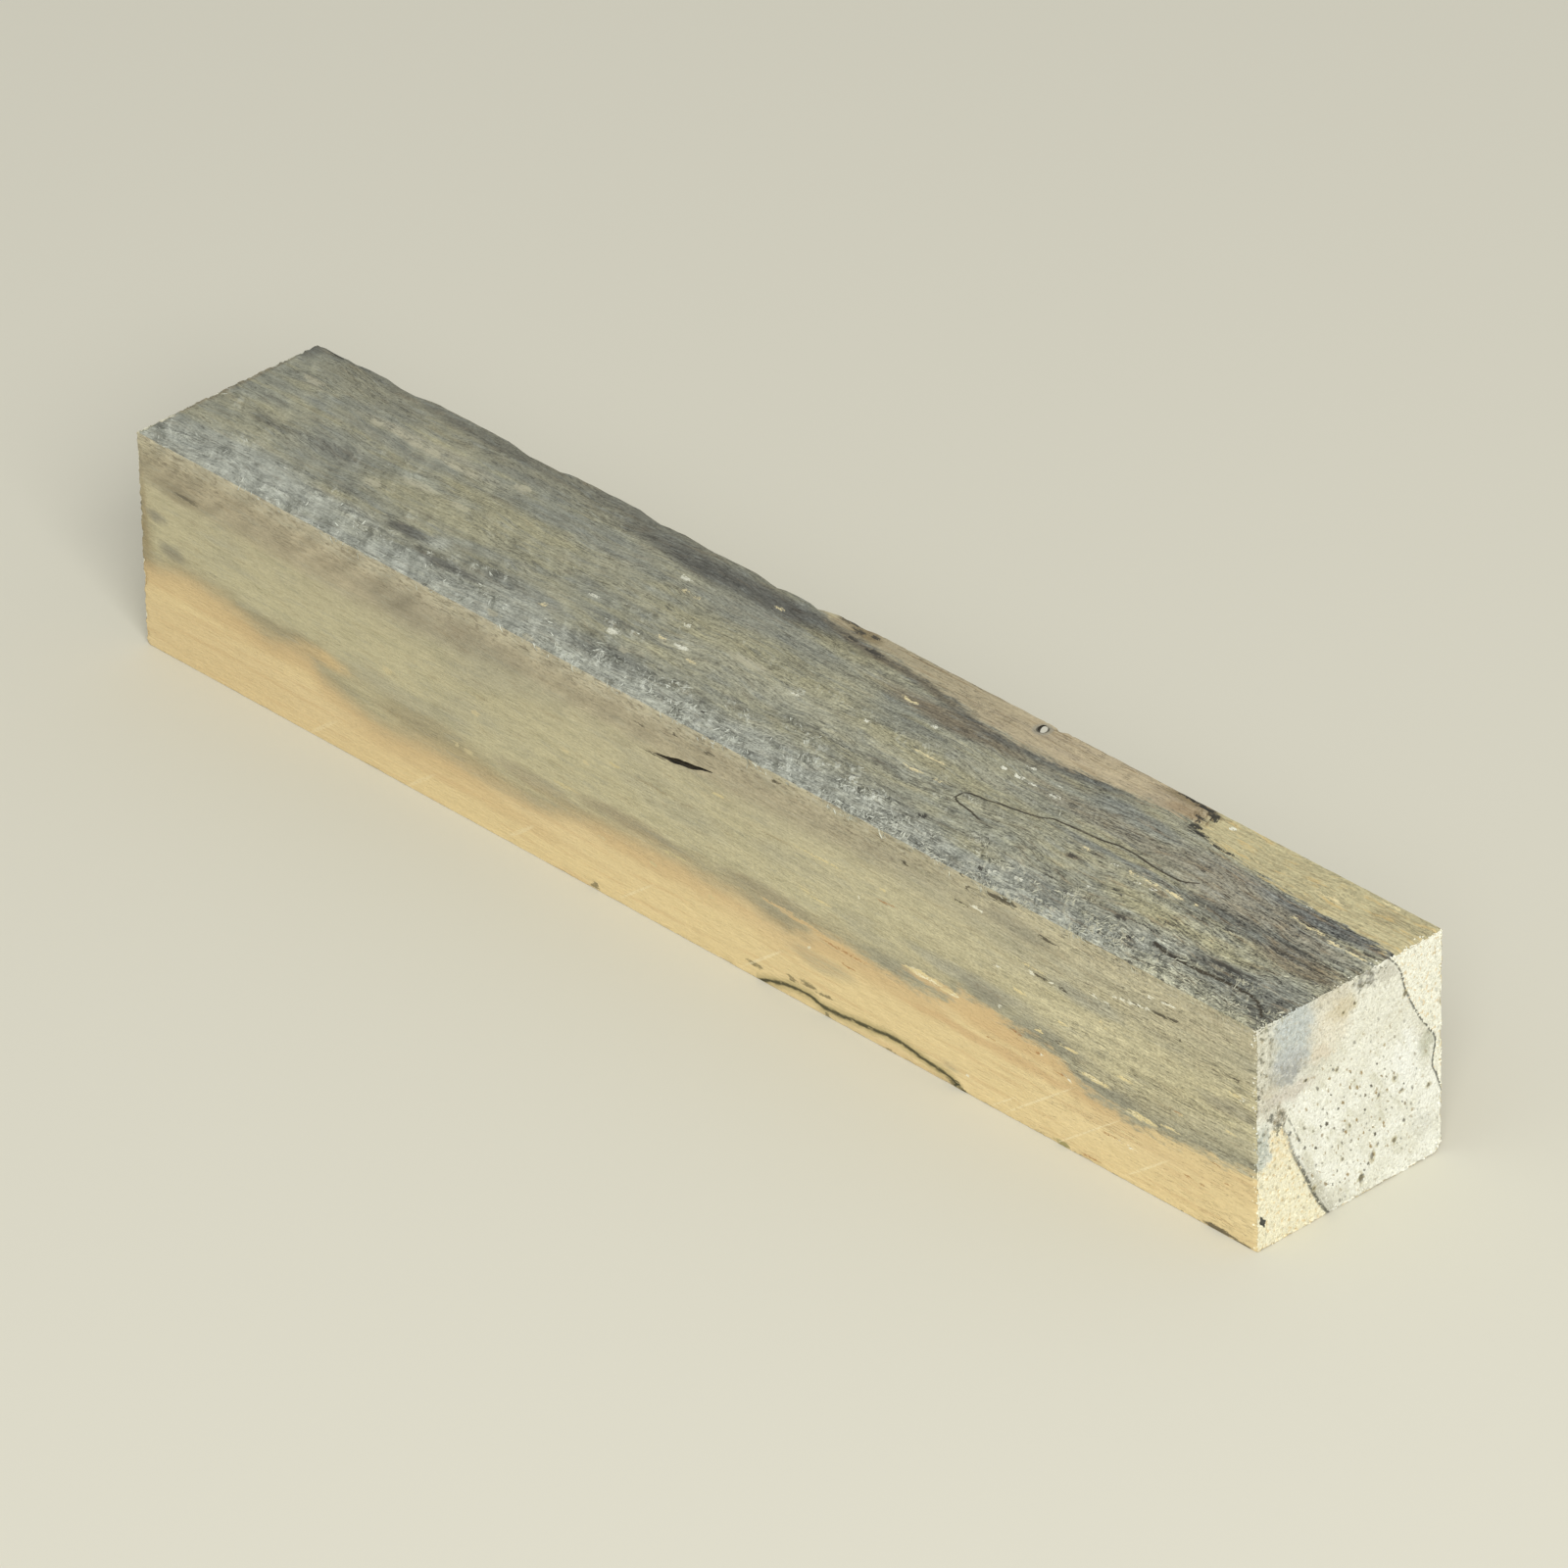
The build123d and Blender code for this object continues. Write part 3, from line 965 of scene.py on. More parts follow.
white_beads = (
    (88.9, 5.72, 0.35, 0.15), (92.2, 6.03, 0.42, 0.13), (87.4, 7.2, 0.32, 0.2),
    (89.0, 7.3, 0.5, 0.22), (90.6, 7.35, 0.3, 0.11), (93.0, 7.42, 0.52, 0.18),
    (103.4, 11.04, 0.2, 0.12), (106.4, 11.65, 0.22, 0.1), (107.9, 11.6, 0.26, 0.13),
    (106.0, 1.1, 0.3, 0.24), (118.2, 5.1, 0.2, 0.12), (123.2, 7.4, 0.45, 0.12),
    (104.2, 14.6, 0.25, 0.16), (103.6, 16.3, 0.16, 0.16), (99.3, 17.55, 0.35, 0.2),
    (97.1, 18.2, 0.16, 0.42), (50.8, 14.4, 0.7, 0.34), (56.4, 12.3, 0.9, 0.26),
    (74.7, 9.8, 0.32, 0.2), (79.2, 6.7, 0.4, 0.2), (49.0, 4.94, 0.5, 0.28),
    (45.7, 11.8, 0.45, 0.24), (54.4, 9.7, 0.3, 0.24), (67.9, 10.9, 0.32, 0.2),
)
beads = marks(ragged, white_beads) * (0.25 + sharp * 0.7)
tone = mix(tone, bead_white, beads * step(nap, 0.24, 0.42))
gold_beads = (
    (100.0, 11.06, 0.28, 0.12), (105.1, 10.98, 0.5, 0.13), (107.1, 11.0, 1.0, 0.16),
    (109.6, 10.95, 0.9, 0.16), (111.8, 10.85, 0.4, 0.15), (120.6, 7.1, 1.5, 0.14),
    (118.4, 6.95, 0.5, 0.12), (125.4, 7.5, 1.2, 0.14), (122.5, 0.56, 1.3, 0.13),
    (118.5, 3.0, 1.9, 0.1), (75.0, 5.35, 0.9, 0.2), (82.4, 12.2, 1.1, 0.14),
    (84.9, 12.1, 0.5, 0.12), (82.0, 10.1, 1.9, 0.11), (57.7, 2.96, 0.4, 0.2),
    (50.3, 6.24, 0.4, 0.22), (51.9, 6.3, 0.36, 0.22), (58.6, 13.3, 0.55, 0.2),
    (54.3, 12.4, 0.4, 0.2), (43.9, 15.4, 0.4, 0.2), (123.2, 7.42, 0.9, 0.14),
)
beads = marks(ragged, gold_beads) * (0.25 + sharp * 0.7)
tone = mix(tone, gold, beads * step(nap, 0.28, 0.44))
dark_marks = (
    (106.6, 13.8, 0.4, 0.13), (105.8, 13.5, 0.22, 0.1), (112.1, 14.1, 0.8, 0.08),
    (116.0, 11.65, 0.65, 0.17), (108.8, 15.95, 0.55, 0.19), (103.2, 16.35, 0.22, 0.13),
    (105.8, 16.25, 0.16, 0.15), (119.6, 15.3, 1.9, 0.26), (121.6, 15.1, 1.2, 0.16),
    (117.0, 16.35, 0.5, 0.14), (119.9, 16.3, 1.2, 0.14), (96.2, 18.4, 0.5, 0.25),
    (112.4, 18.5, 0.4, 0.12), (109.2, 18.55, 0.45, 0.1), (121.2, 11.1, 2.0, 0.13),
    (124.6, 11.1, 1.8, 0.12), (122.4, 9.95, 3.2, 0.13), (125.6, 9.75, 0.9, 0.12),
    (114.0, 16.75, 1.0, 0.26), (116.2, 17.1, 1.2, 0.2), (118.0, 6.3, 1.0, 0.08),
    (109.0, 6.9, 1.6, 0.07), (116.0, 9.6, 1.2, 0.08), (111.0, 15.6, 1.6, 0.08),
    (113.4, 9.95, 0.6, 0.11), (118.5, 7.85, 0.9, 0.09), (93.6, 15.15, 0.35, 0.12),
    (94.2, 16.1, 0.2, 0.12), (100.8, 15.7, 0.8, 0.09), (100.2, 12.4, 0.6, 0.28),
    (87.7, 16.3, 0.3, 0.36), (65.0, 2.15, 0.9, 0.26), (67.8, 2.35, 1.0, 0.32),
    (63.1, 0.35, 1.3, 0.3), (64.7, 0.95, 0.8, 0.26), (66.2, 0.7, 0.5, 0.2), (64.4, 17.6, 0.4, 0.2),
    (76.3, 13.7, 0.3, 0.14), (126.2, 6.7, 0.9, 0.16), (3.0, 0.4, 1.0, 0.5),
)
tone = mix(tone, (56, 54, 46), marks(ragged, dark_marks) * 0.88)
jagged = (
    (100.8, 0.25, 1.6, 0.18), (102.6, 0.5, 1.1, 0.28), (103.9, 0.75, 0.8, 0.27),
    (104.0, 1.25, 0.22, 0.45), (103.2, 1.75, 0.7, 0.14), (103.2, 2.3, 0.24, 0.45),
    (103.8, 2.9, 0.7, 0.3), (104.8, 3.4, 0.9, 0.22), (107.0, 3.85, 0.7, 0.17),
    (108.3, 3.95, 0.6, 0.15),
)
in_knot = marks(place, ((103.4, 1.5, 1.4, 1.3),))
tone = mix(tone, (116, 98, 64), in_knot * step(tufts, 0.44, 0.6) * 0.8)
tone = mix(tone, black, marks(ragged, jagged) * 0.95)
swayed = across + (nap - 0.5) * 0.12
zone = line_along(along, swayed, zone_upper, 0.11, width)
zone = most(zone, marks(place, ((87.6, 12.45, 0.1, 0.62),)))
lower_end = step(along, 93.0, 90.5)
zone = most(zone, line_along(along, swayed, zone_lower, 0.1, width) * lower_end)
course_line = line_along(along, across + (fibre - 0.5) * 0.4, dark_course, 0.2, width)
zone = most(zone, course_line * step(nap, 0.72, 0.57))
tone = mix(tone, (60, 54, 38), zone * (1 - step(drift, 0.56, 0.7) * 0.4))
ring = vectors("DISTANCE", place, gallery_on_top, output="Value")
tone = mix(tone, (150, 146, 128), step(ring, 1.0, 0.7) * 0.7)
# Painted shade: a near-black ring round the gallery's mouth.
tone = mix(tone, black, step(ring, 0.62, 0.46) * 0.85)
relief = fibre * 0.07 + nap * 0.03 - pores * 0.06
relief = relief + tufts * (0.02 + fuzzy * (0.1 + clear * 0.14)) + lumps * fuzzy * 0.5
finish_wood(tone, relief, 0.86)

stain, clean, past, along, across = side_tree("front")
place = at(along, across)
sharp = sharpness(along)
streak, fibre, nap, drift = long_grain(place, 121)
stain = mix(stain, soft_brown, step(drift, 0.55, 0.75) * 0.22)
stain = mix(stain, (164, 161, 139), step(drift, 0.46, 0.3) * 0.35)
stain = grained(stain, streak, fibre, nap, sharp * (0.46 + step(along, 86, 116) * 0.34))
clear = step(along, 34, 84)
lean_along, lean_across = 0.8, -0.6
slanted = turned(along, across, lean_along, lean_across)
lumps = noise(slanted, (0.2, 0.65), 130, 3)
stain = lit(stain, 1 + (lumps - 0.5) * step(across, 8, 2) * (1 - clear * 0.75) * 0.75)
saw_ticks = noise(place, (7.0, 0.5), 125, 1)
stain = lit(stain, 1 + (saw_ticks - 0.5) * step(along, 96, 110) * step(across, 4, 1) * 0.25)
pores = open_pores(place, 126)
near_top = step(across, 4.5, 0.5)
pore_strength = 0.1 + near_top * 0.18 + step(along, 90, 112) * 0.24
stain = mix(stain, brown_black, pores * pore_strength)
mottle = noise(place, (0.9, 2.6), 128, 3, 0.65)
worn_band = step(across, 4.2, 0.6) * step(along, 104, 86)
stain = mix(stain, (128, 118, 98), step(mottle, 0.54, 0.7) * worn_band * 0.65)
stain = mix(stain, (192, 188, 166), step(mottle, 0.45, 0.3) * step(across, 2.4, 0.2) * 0.55)
# Painted shade: darker dots for pits in the worn band along the top arris.
pits = step(noise(place, (0.9, 2.4), 127, 4, 0.75), 0.59, 0.72) * worn_band
stain = mix(stain, (98, 90, 70), pits * (0.3 + clear * 0.4))
clean = grained(clean, streak, fibre, nap, 0.16)
clean = mix(clean, (206, 176, 128), step(noise(place, (0.1, 1.8), 129, 3), 0.54, 0.7) * 0.35)
crisp = step(along, 58, 100)
border = past + ((drift - 0.5) * 2.4 + (mottle - 0.5) * 1.6) * (0.3 + crisp * 0.7)
tone = mix(stain, clean, step(border / (2.0 - crisp * 1.1), -0.7, 0.7))
ragged = at(along + (mottle - 0.5) * 2.0, across + (fibre - 0.5) * 0.6 + (nap - 0.5) * 0.3)
white_beads = (
    (96.6, 2.46, 0.5, 0.14), (117.2, 1.87, 0.55, 0.12), (115.4, 2.07, 0.22, 0.1),
    (111.4, 3.74, 0.22, 0.11), (112.2, 3.64, 0.3, 0.14), (113.2, 3.48, 0.3, 0.14),
    (114.2, 3.33, 0.28, 0.14), (114.9, 3.2, 0.24, 0.13), (109.1, 4.65, 0.36, 0.12),
    (110.7, 4.65, 0.46, 0.13), (102.5, 5.6, 0.3, 0.12), (104.5, 5.56, 0.3, 0.12),
    (98.7, 6.7, 0.16, 0.15), (125.1, 6.76, 0.24, 0.15), (98.8, 10.15, 0.22, 0.15),
    (103.6, 12.58, 0.2, 0.14), (106.4, 13.5, 0.32, 0.15), (91.4, 11.25, 1.0, 0.19),
    (93.9, 11.45, 0.5, 0.18), (89.5, 11.1, 0.8, 0.15), (95.2, 18.15, 0.3, 0.12),
    (77.9, 14.3, 0.28, 0.2), (50.1, 8.4, 0.6, 0.2), (52.5, 8.4, 0.4, 0.2), (38.7, 13.4, 0.7, 0.28),
    (37.3, 13.3, 0.4, 0.24), (29.3, 9.9, 0.6, 0.32), (39.6, 9.4, 0.45, 0.28),
    (83.5, 7.3, 0.2, 0.15), (54.3, 14.6, 0.3, 0.2), (112.9, 16.6, 0.2, 0.08),
    (111.8, 16.5, 0.3, 0.08),
)
bead = mix((208, 194, 150), (236, 234, 212), step(along, 60, 96))
tone = mix(tone, bead, marks(ragged, white_beads) * (0.3 + sharp * 0.66))
gold_beads = (
    (100.9, 7.9, 0.6, 0.11), (105.6, 8.7, 0.65, 0.12), (124.1, 6.7, 0.95, 0.15),
    (103.2, 10.46, 0.36, 0.14), (106.5, 10.7, 1.0, 0.15), (112.4, 10.7, 0.9, 0.14),
    (118.5, 11.1, 0.4, 0.12), (123.8, 10.4, 0.9, 0.1), (109.3, 12.2, 1.8, 0.24),
    (114.3, 13.36, 1.9, 0.26), (117.3, 12.94, 1.2, 0.12), (50.0, 11.67, 1.4, 0.2),
    (61.7, 12.66, 0.4, 0.16), (63.3, 12.55, 1.3, 0.1), (77.3, 9.27, 1.0, 0.15),
    (79.3, 9.5, 1.3, 0.12), (79.0, 5.6, 3.0, 0.07), (67.6, 4.8, 1.0, 0.12), (55.9, 7.2, 0.8, 0.14),
    (86.0, 5.33, 0.6, 0.1), (90.4, 11.2, 2.2, 0.26), (93.5, 11.42, 1.0, 0.26),
    (110.0, 6.8, 0.06, 0.45), (59.9, 14.4, 0.3, 0.22), (66.7, 14.55, 0.3, 0.2),
    (101.2, 7.85, 0.8, 0.16), (102.4, 5.1, 1.6, 0.1), (113.0, 15.6, 1.4, 0.07),
)
cream_lines = (
    (91.6, 11.4, 3.4, 0.5), (74.0, 12.1, 2.0, 0.14), (77.0, 12.35, 2.4, 0.2),
    (80.4, 12.65, 2.6, 0.22), (83.0, 12.85, 2.0, 0.14),
)
tone = mix(tone, (212, 184, 134), marks(ragged, cream_lines) * 0.8)
golden = mix((204, 190, 142), (226, 210, 158), step(along, 60, 96))
beads = marks(ragged, gold_beads) * (0.4 + sharp * 0.55)
tone = mix(tone, golden, beads * step(nap, 0.28, 0.42))
bright_cores = (
    (91.0, 11.3, 1.5, 0.13), (93.8, 11.45, 0.6, 0.13), (113.4, 13.4, 0.9, 0.1),
    (109.0, 12.2, 0.9, 0.1),
)
tone = mix(tone, (240, 232, 200), marks(ragged, bright_cores) * step(nap, 0.4, 0.52) * 0.9)
rust_marks = (
    (100.6, 11.7, 0.65, 0.12), (103.0, 12.55, 0.5, 0.12), (98.0, 13.6, 0.4, 0.1),
    (105.3, 13.4, 0.42, 0.1), (118.0, 11.1, 0.7, 0.1), (119.1, 16.4, 0.6, 0.08),
    (120.8, 16.4, 0.5, 0.08), (111.0, 16.5, 1.4, 0.05), (108.6, 19.5, 1.2, 0.1),
    (81.8, 12.95, 3.0, 0.07), (82.0, 14.15, 0.8, 0.1), (123.6, 15.15, 0.4, 0.06),
    (122.0, 13.9, 0.6, 0.06), (86.6, 6.4, 1.6, 0.06),
)
tone = mix(tone, rust, marks(ragged, rust_marks) * 0.8)
tone = mix(tone, soft_brown, marks(ragged, ((61.4, 7.27, 4.0, 0.1), (73.7, 5.9, 3.0, 0.09))) * 0.35)
dark_marks = (
    (99.5, 0.43, 1.5, 0.28), (100.4, 0.35, 0.7, 0.2), (94.8, 0.25, 0.22, 0.12),
    (95.6, 0.95, 0.36, 0.17), (104.3, 1.9, 1.2, 0.13), (88.6, 1.8, 0.25, 0.1),
    (95.0, 2.7, 0.9, 0.06), (113.7, 3.42, 0.3, 0.13), (116.2, 3.12, 0.9, 0.16),
    (117.6, 3.0, 0.5, 0.14), (103.5, 5.56, 0.7, 0.12), (105.8, 5.5, 0.5, 0.08),
    (105.3, 10.6, 0.26, 0.14), (124.2, 5.3, 0.65, 0.1), (126.7, 6.2, 0.35, 0.1),
    (126.7, 7.7, 0.35, 0.2), (118.4, 4.5, 0.16, 0.14), (74.3, 0.73, 0.5, 0.15),
    (62.9, 1.35, 0.4, 0.15), (66.8, 1.4, 0.6, 0.2), (59.1, 2.15, 0.6, 0.1),
    (122.6, 19.65, 1.9, 0.26), (124.9, 19.8, 1.4, 0.18), (121.8, 19.5, 0.8, 0.16),
    (113.0, 19.98, 12.0, 0.13), (98.4, 0.55, 0.9, 0.2), (5.6, 3.9, 1.5, 0.22),
    # The marks at 60.6 and 61.5 mm along are the drying check's thin tail: painted shade of the
    # crack.
    (92.4, 20.0, 2.0, 0.2), (60.6, 4.15, 1.3, 0.07), (61.5, 4.0, 0.9, 0.12),
)
tone = mix(tone, (66, 60, 44), marks(ragged, dark_marks) * (0.25 + sharp * 0.6))
under_line = (
    (71.6, 20.0), (72.7, 19.54), (74.0, 19.2), (75.3, 18.87), (77.5, 18.74), (79.3, 19.1),
    (82.0, 18.92), (84.7, 18.66), (87.1, 18.45), (90.2, 18.8), (92.3, 19.06), (93.6, 19.25),
    (94.3, 19.7), (94.8, 20.0),
)
swayed = across + (mottle - 0.5) * 0.4
zone = line_along(along, swayed, under_line, 0.19, height) * 0.95
zone = most(zone, marks(ragged, ((94.0, 19.5, 0.5, 0.34), (94.6, 19.9, 0.5, 0.3))))
zone_spots = (
    (71.5, 18.6, 0.9, 0.24), (75.7, 18.07, 0.5, 0.26), (77.5, 17.85, 0.8, 0.26),
    (79.4, 18.0, 0.9, 0.14), (79.6, 19.67, 0.42, 0.3), (93.8, 19.5, 0.9, 0.32),
    (86.6, 19.85, 0.8, 0.16), (53.1, 19.4, 0.45, 0.3),
)
zone = most(zone, marks(ragged, zone_spots) * 0.65)
halo = line_along(along, swayed, under_line, 0.55, height)
tone = mix(tone, (158, 146, 98), halo * 0.55)
tone = mix(tone, (66, 64, 38), zone * (1 - step(mottle, 0.58, 0.74) * 0.5))
tone = mix(tone, (122, 122, 66), marks(ragged, ((105.7, 19.6, 0.8, 0.26),)) * 0.7)
scratches = (
    (103.0, 16.9, 5.2, 0.1), (99.2, 18.7, 1.8, 0.08), (108.2, 17.4, 5.0, 0.08),
    (114.8, 17.6, 3.0, 0.11), (72.4, 17.7, 3.1, 0.14), (58.0, 17.9, 2.6, 0.12),
    (21.3, 18.5, 2.2, 0.2), (32.8, 18.6, 2.2, 0.18), (44.6, 18.2, 2.0, 0.2),
)
slanted_marks = tuple(
    (u * lean_along + v * lean_across, v * lean_along - u * lean_across, half_long, half_wide)
    for u, v, half_long, half_wide in scratches
)
scratched = marks(slanted, slanted_marks) * sharp * step(nap, 0.34, 0.48)
tone = mix(tone, (236, 222, 180), scratched * 0.65)
finish_wood(tone, fibre * 0.05 + nap * 0.03 - pores * pore_strength * 0.1, 0.78)

for side, seed in (("back", 141), ("under", 161)):
    stain, clean, past, along, across = side_tree(side)
    place = at(along, across)
    streak, fibre, nap, drift = long_grain(place, seed)
    pores = open_pores(place, seed + 4)
    stain = mix(grained(stain, streak, fibre, nap, 0.6), brown_black, pores * 0.3)
    clean = mix(grained(clean, streak, fibre, nap, 0.3), soft_brown, pores * 0.2)
    border = past + (drift - 0.5) * 2.0 + (fibre - 0.5) * 0.6
    tone = mix(stain, clean, step(border, -0.4, 0.4))
    flecks = step(noise(place, (1.0, 4.2), seed + 6, 1), 0.7, 0.76)
    tone = mix(tone, pale_gold, flecks * 0.6)
    wander = across + (noise(place, (0.12, 0.12), seed + 7, 3) - 0.5) * 9
    zone = step(abs(wander - (8.2 if side == "back" else 12.6)), 0.18, 0.05)
    tone = mix(tone, black, zone * step(abs(along - 92), 30, 22) * 0.75)
    if side == "back":
        ring = vectors("DISTANCE", place, gallery_on_back, output="Value")
        # Painted shade: a near-black ring round the gallery's mouth on the back.
        tone = mix(tone, black, step(ring, 0.66, 0.46) * 0.85)
    finish_wood(tone, fibre * 0.05 + nap * 0.03 - pores * 0.04, 0.8)

# End grain on the two crosscut ends
# Cut across, the fibres stand on end: chalky, crumbly wood with open pores in slanting rows,
# and the zone lines come through from the faces as thin dark walls.


def end_pores(place, cells, size, share, seed):
    """Round pores of mixed size, one to a cell in a share of the cells: cover, and browning."""
    cell = place.add(
        "ShaderNodeTexVoronoi",
        {"voronoi_dimensions": "2D"},
        {"Vector": stretched(place, cells, seed), "Scale": 1.0},
    )
    colour = Field(cell.tree, cell.socket.node.outputs["Color"])
    here, girth, browning = parts_of(colour)
    radius = (girth * 0.8 + 0.45) * size
    return step(cell / radius, 1.25, 0.6) * (here < share), browning


for side, seed in (("near", 201), ("far", 221)):
    stain, clean, past, across, down = side_tree(side)
    place = at(across, down)
    rows = turned(across, down, 0.5, 0.87)
    crumbs = noise(place, (3.4, 3.4), seed, 3, 0.7)
    grit = noise(place, (5.2, 5.2), seed + 1, 3, 0.75)
    brushed = noise(rows, (1.0, 4.0), seed + 2, 3, 0.65)
    border = past + (crumbs - 0.5) * 0.9
    flecks = noise(place, (2.5, 2.5), seed + 8, 2)
    clean = mix(clean, (222, 190, 128), step(flecks, 0.58, 0.7) * 0.55)
    clean = mix(clean, (250, 246, 224), step(flecks, 0.44, 0.3) * 0.4)
    tone = mix(stain, clean, step(border, -0.12, 0.15))
    tone = lit(tone, 1 + (crumbs - 0.5) * 0.34 + (brushed - 0.5) * 0.24 + (grit - 0.5) * 0.42)
    tone = mix(tone, (190, 172, 132), step(crumbs, 0.4, 0.24) * 0.5)
    tone = mix(tone, (250, 250, 240), step(crumbs, 0.6, 0.76) * 0.5)
    speckle = noise(place, (1.9, 1.9), seed + 7, 2)
    edge_mottle = step(across + down * 0.2, 4.5, 0.8) * step(down, 13, 9)
    mottled = most(edge_mottle * 0.85, step(across + down * 0.7, 12, 7) * 0.3)
    smudge = marks(place, ((11.9, 0.7, 2.4, 1.4), (2.1, 9.3, 1.7, 2.0), (0.6, 11.0, 1.2, 1.8)))
    mottled = most(mottled, smudge * 0.9)
    tone = mix(tone, (116, 114, 95), step(speckle, 0.57, 0.68) * mottled * 0.9)
    tone = mix(tone, (243, 241, 222), step(speckle, 0.45, 0.35) * mottled * 0.7)
    tone = lit(tone, 1 + (speckle - 0.5) * 0.16)
    frayed = at(across + (crumbs - 0.5) * 0.25, down + (grit - 0.5) * 0.25)
    frayed_rows = vectors("ADD", rows, at((crumbs - 0.5) * 0.5, (grit - 0.5) * 0.4))
    thick = step(vectors("DISTANCE", place, (10.5, 12.8, 0), output="Value"), 9.5, 4)
    for cells, size, share, strength, layer in (
        ((0.66, 1.1), 0.135, 0.6, 0.9, 3),
        ((1.1, 1.7), 0.15, 0.5, 0.7, 4),
    ):
        dots, browning = end_pores(frayed_rows, cells, size, share, seed + layer)
        pore_brown = mix((158, 134, 84), (74, 68, 48), step(browning, 0.35, 0.7))
        tone = mix(tone, pore_brown, dots * (0.3 + thick * 0.7) * strength)
    shade = noise(rows, (0.35, 0.9), seed + 6, 2)
    tone = mix(tone, (196, 192, 160), step(shade, 0.56, 0.72) * (0.08 + thick * 0.3))
    if side == "near":
        swayed = across + (crumbs - 0.5) * 0.35
        right = line_along(down, swayed, near_right_line, 0.12, width)
        left = line_along(down, swayed, near_left_line, 0.22, width)
        branch = line_along(down, swayed, ((8.7, 2.95), (10.3, 3.8), (12.3, 4.7)), 0.1, width)
        zone = most(most(right * 0.85, left * (0.3 + step(down, 10, 15) * 0.6)), branch * 0.5)
        spots = (
            (2.3, 9.7, 0.5, 0.35), (1.6, 8.6, 0.25, 0.5), (5.2, 6.9, 0.2, 0.15),
            (5.35, 15.8, 0.25, 0.3), (14.8, 16.6, 0.25, 0.2), (11.3, 18.4, 0.35, 0.3),
            (0.25, 6.2, 0.25, 0.3), (3.5, 10.9, 0.3, 0.25),
        )
        zone = most(zone, marks(frayed, spots) * 0.75)
        tone = mix(tone, (66, 68, 56), zone * step(crumbs, 0.68, 0.5))
        beside = across - course(down, near_left_line, width)
        shadow = step(abs(beside - 0.6), 0.9, 0.1) * step(down, 12, 17)
        tone = mix(tone, (158, 152, 126), shadow * step(crumbs, 0.3, 0.55) * 0.55)
        large_pores = (
            (11.2, 18.5, 0.26, 0.42), (14.8, 16.7, 0.2, 0.24), (12.4, 17.0, 0.2, 0.4),
            (14.85, 11.1, 0.2, 0.2), (13.1, 11.8, 0.17, 0.2), (8.6, 7.5, 0.14, 0.16),
            (15.6, 12.5, 0.24, 0.14), (5.3, 6.9, 0.18, 0.12), (13.0, 16.2, 0.16, 0.16),
            (9.2, 15.8, 0.14, 0.2), (6.2, 17.0, 0.14, 0.16), (10.0, 13.2, 0.13, 0.16),
            (18.5, 13.4, 0.2, 0.16), (10.5, 2.4, 0.17, 0.13), (15.9, 4.0, 0.2, 0.26),
            (9.3, 2.7, 0.14, 0.14),
        )
        halves = tuple((u / 2, v / 2, half_u, half_v) for u, v, half_u, half_v in large_pores)
        halo = marks(at(across * 0.5, down * 0.5), halves)
        tone = mix(tone, (188, 178, 138), halo * step(speckle, 0.42, 0.56) * 0.6)
        tone = mix(tone, (88, 80, 54), marks(frayed, large_pores) * 0.7)
        leaning = abs(across - 0.65 - (down - 17.5) * 0.35) / 0.34 + abs(down - 17.5) / 0.62
        tone = mix(tone, (42, 44, 42), step(leaning + (grit - 0.5) * 0.8, 1.15, 0.85) * 0.95)
    finish_wood(tone, crumbs * 0.16 + grit * 0.05 + brushed * 0.04, 0.92)

# Painted shade: the walls of the check and the gallery in near-black browns.
start, place, rulers = shader_tree(hollow_shade_finish)
grain = noise(place, (0.5, 4.0, 4.0), 240, 2)
finish_wood(mix((38, 36, 27), (92, 82, 60), step(grain, 0.35, 0.7)), grain * 0.1, 0.9)

# Flat layout of the skin
# Each side lies on one flat sheet as it was ruled: the four long faces one under another,
# then the two ends at twice their size, and the dark hollows.
sheet_width = 130.0
strip_places = {"top": 0.5, "front": 21.2, "back": 41.9, "under": 62.6}
end_places = {"near": (0.5, 83.4), "far": (41.5, 83.4)}
side_names = [*outward, "hollow"]
layout = stick.data.uv_layers.new(name="OFBake")
for face in stick.data.polygons:
    for loop_index in face.loop_indices:
        corner = stick.data.vertices[stick.data.loops[loop_index].vertex_index].co / mm
        rulers = rulers_at(*corner)
        side = side_names[face.material_index]
        if side == "hollow":
            from_far, from_back, from_top = rulers["top"]
            spot = (84 + from_far * 0.2, 84 + from_top + from_back)
        elif side in strip_places:
            along, across, _ = rulers[side]
            spot = (0.5 + along, strip_places[side] + across)
        else:
            along, across, _ = rulers[side]
            left, foot = end_places[side]
            spot = (left + along * 2, foot + across * 2)
        layout.data[loop_index].uv = (spot[0] / sheet_width, spot[1] / sheet_width)

# Torn fibres along the upper front arris
# Where the stained wood is softest the saw has pulled up fibres, which lie over each other on
# the top face, pale and silvery with a painted sheen, slanted the way the blade went.
fibre_size = Vector((0.75, 0.12, 0.08)) * mm
fibre_bend = math.radians(34)
saw_slant = math.radians(-46)
fibre_scales = (0.25, 1.2)
fibre_turns = ((-1.2, -0.45, saw_slant - 0.9), (1.2, 0.15, saw_slant + 0.9))
fibres_per_mm2 = 11.0


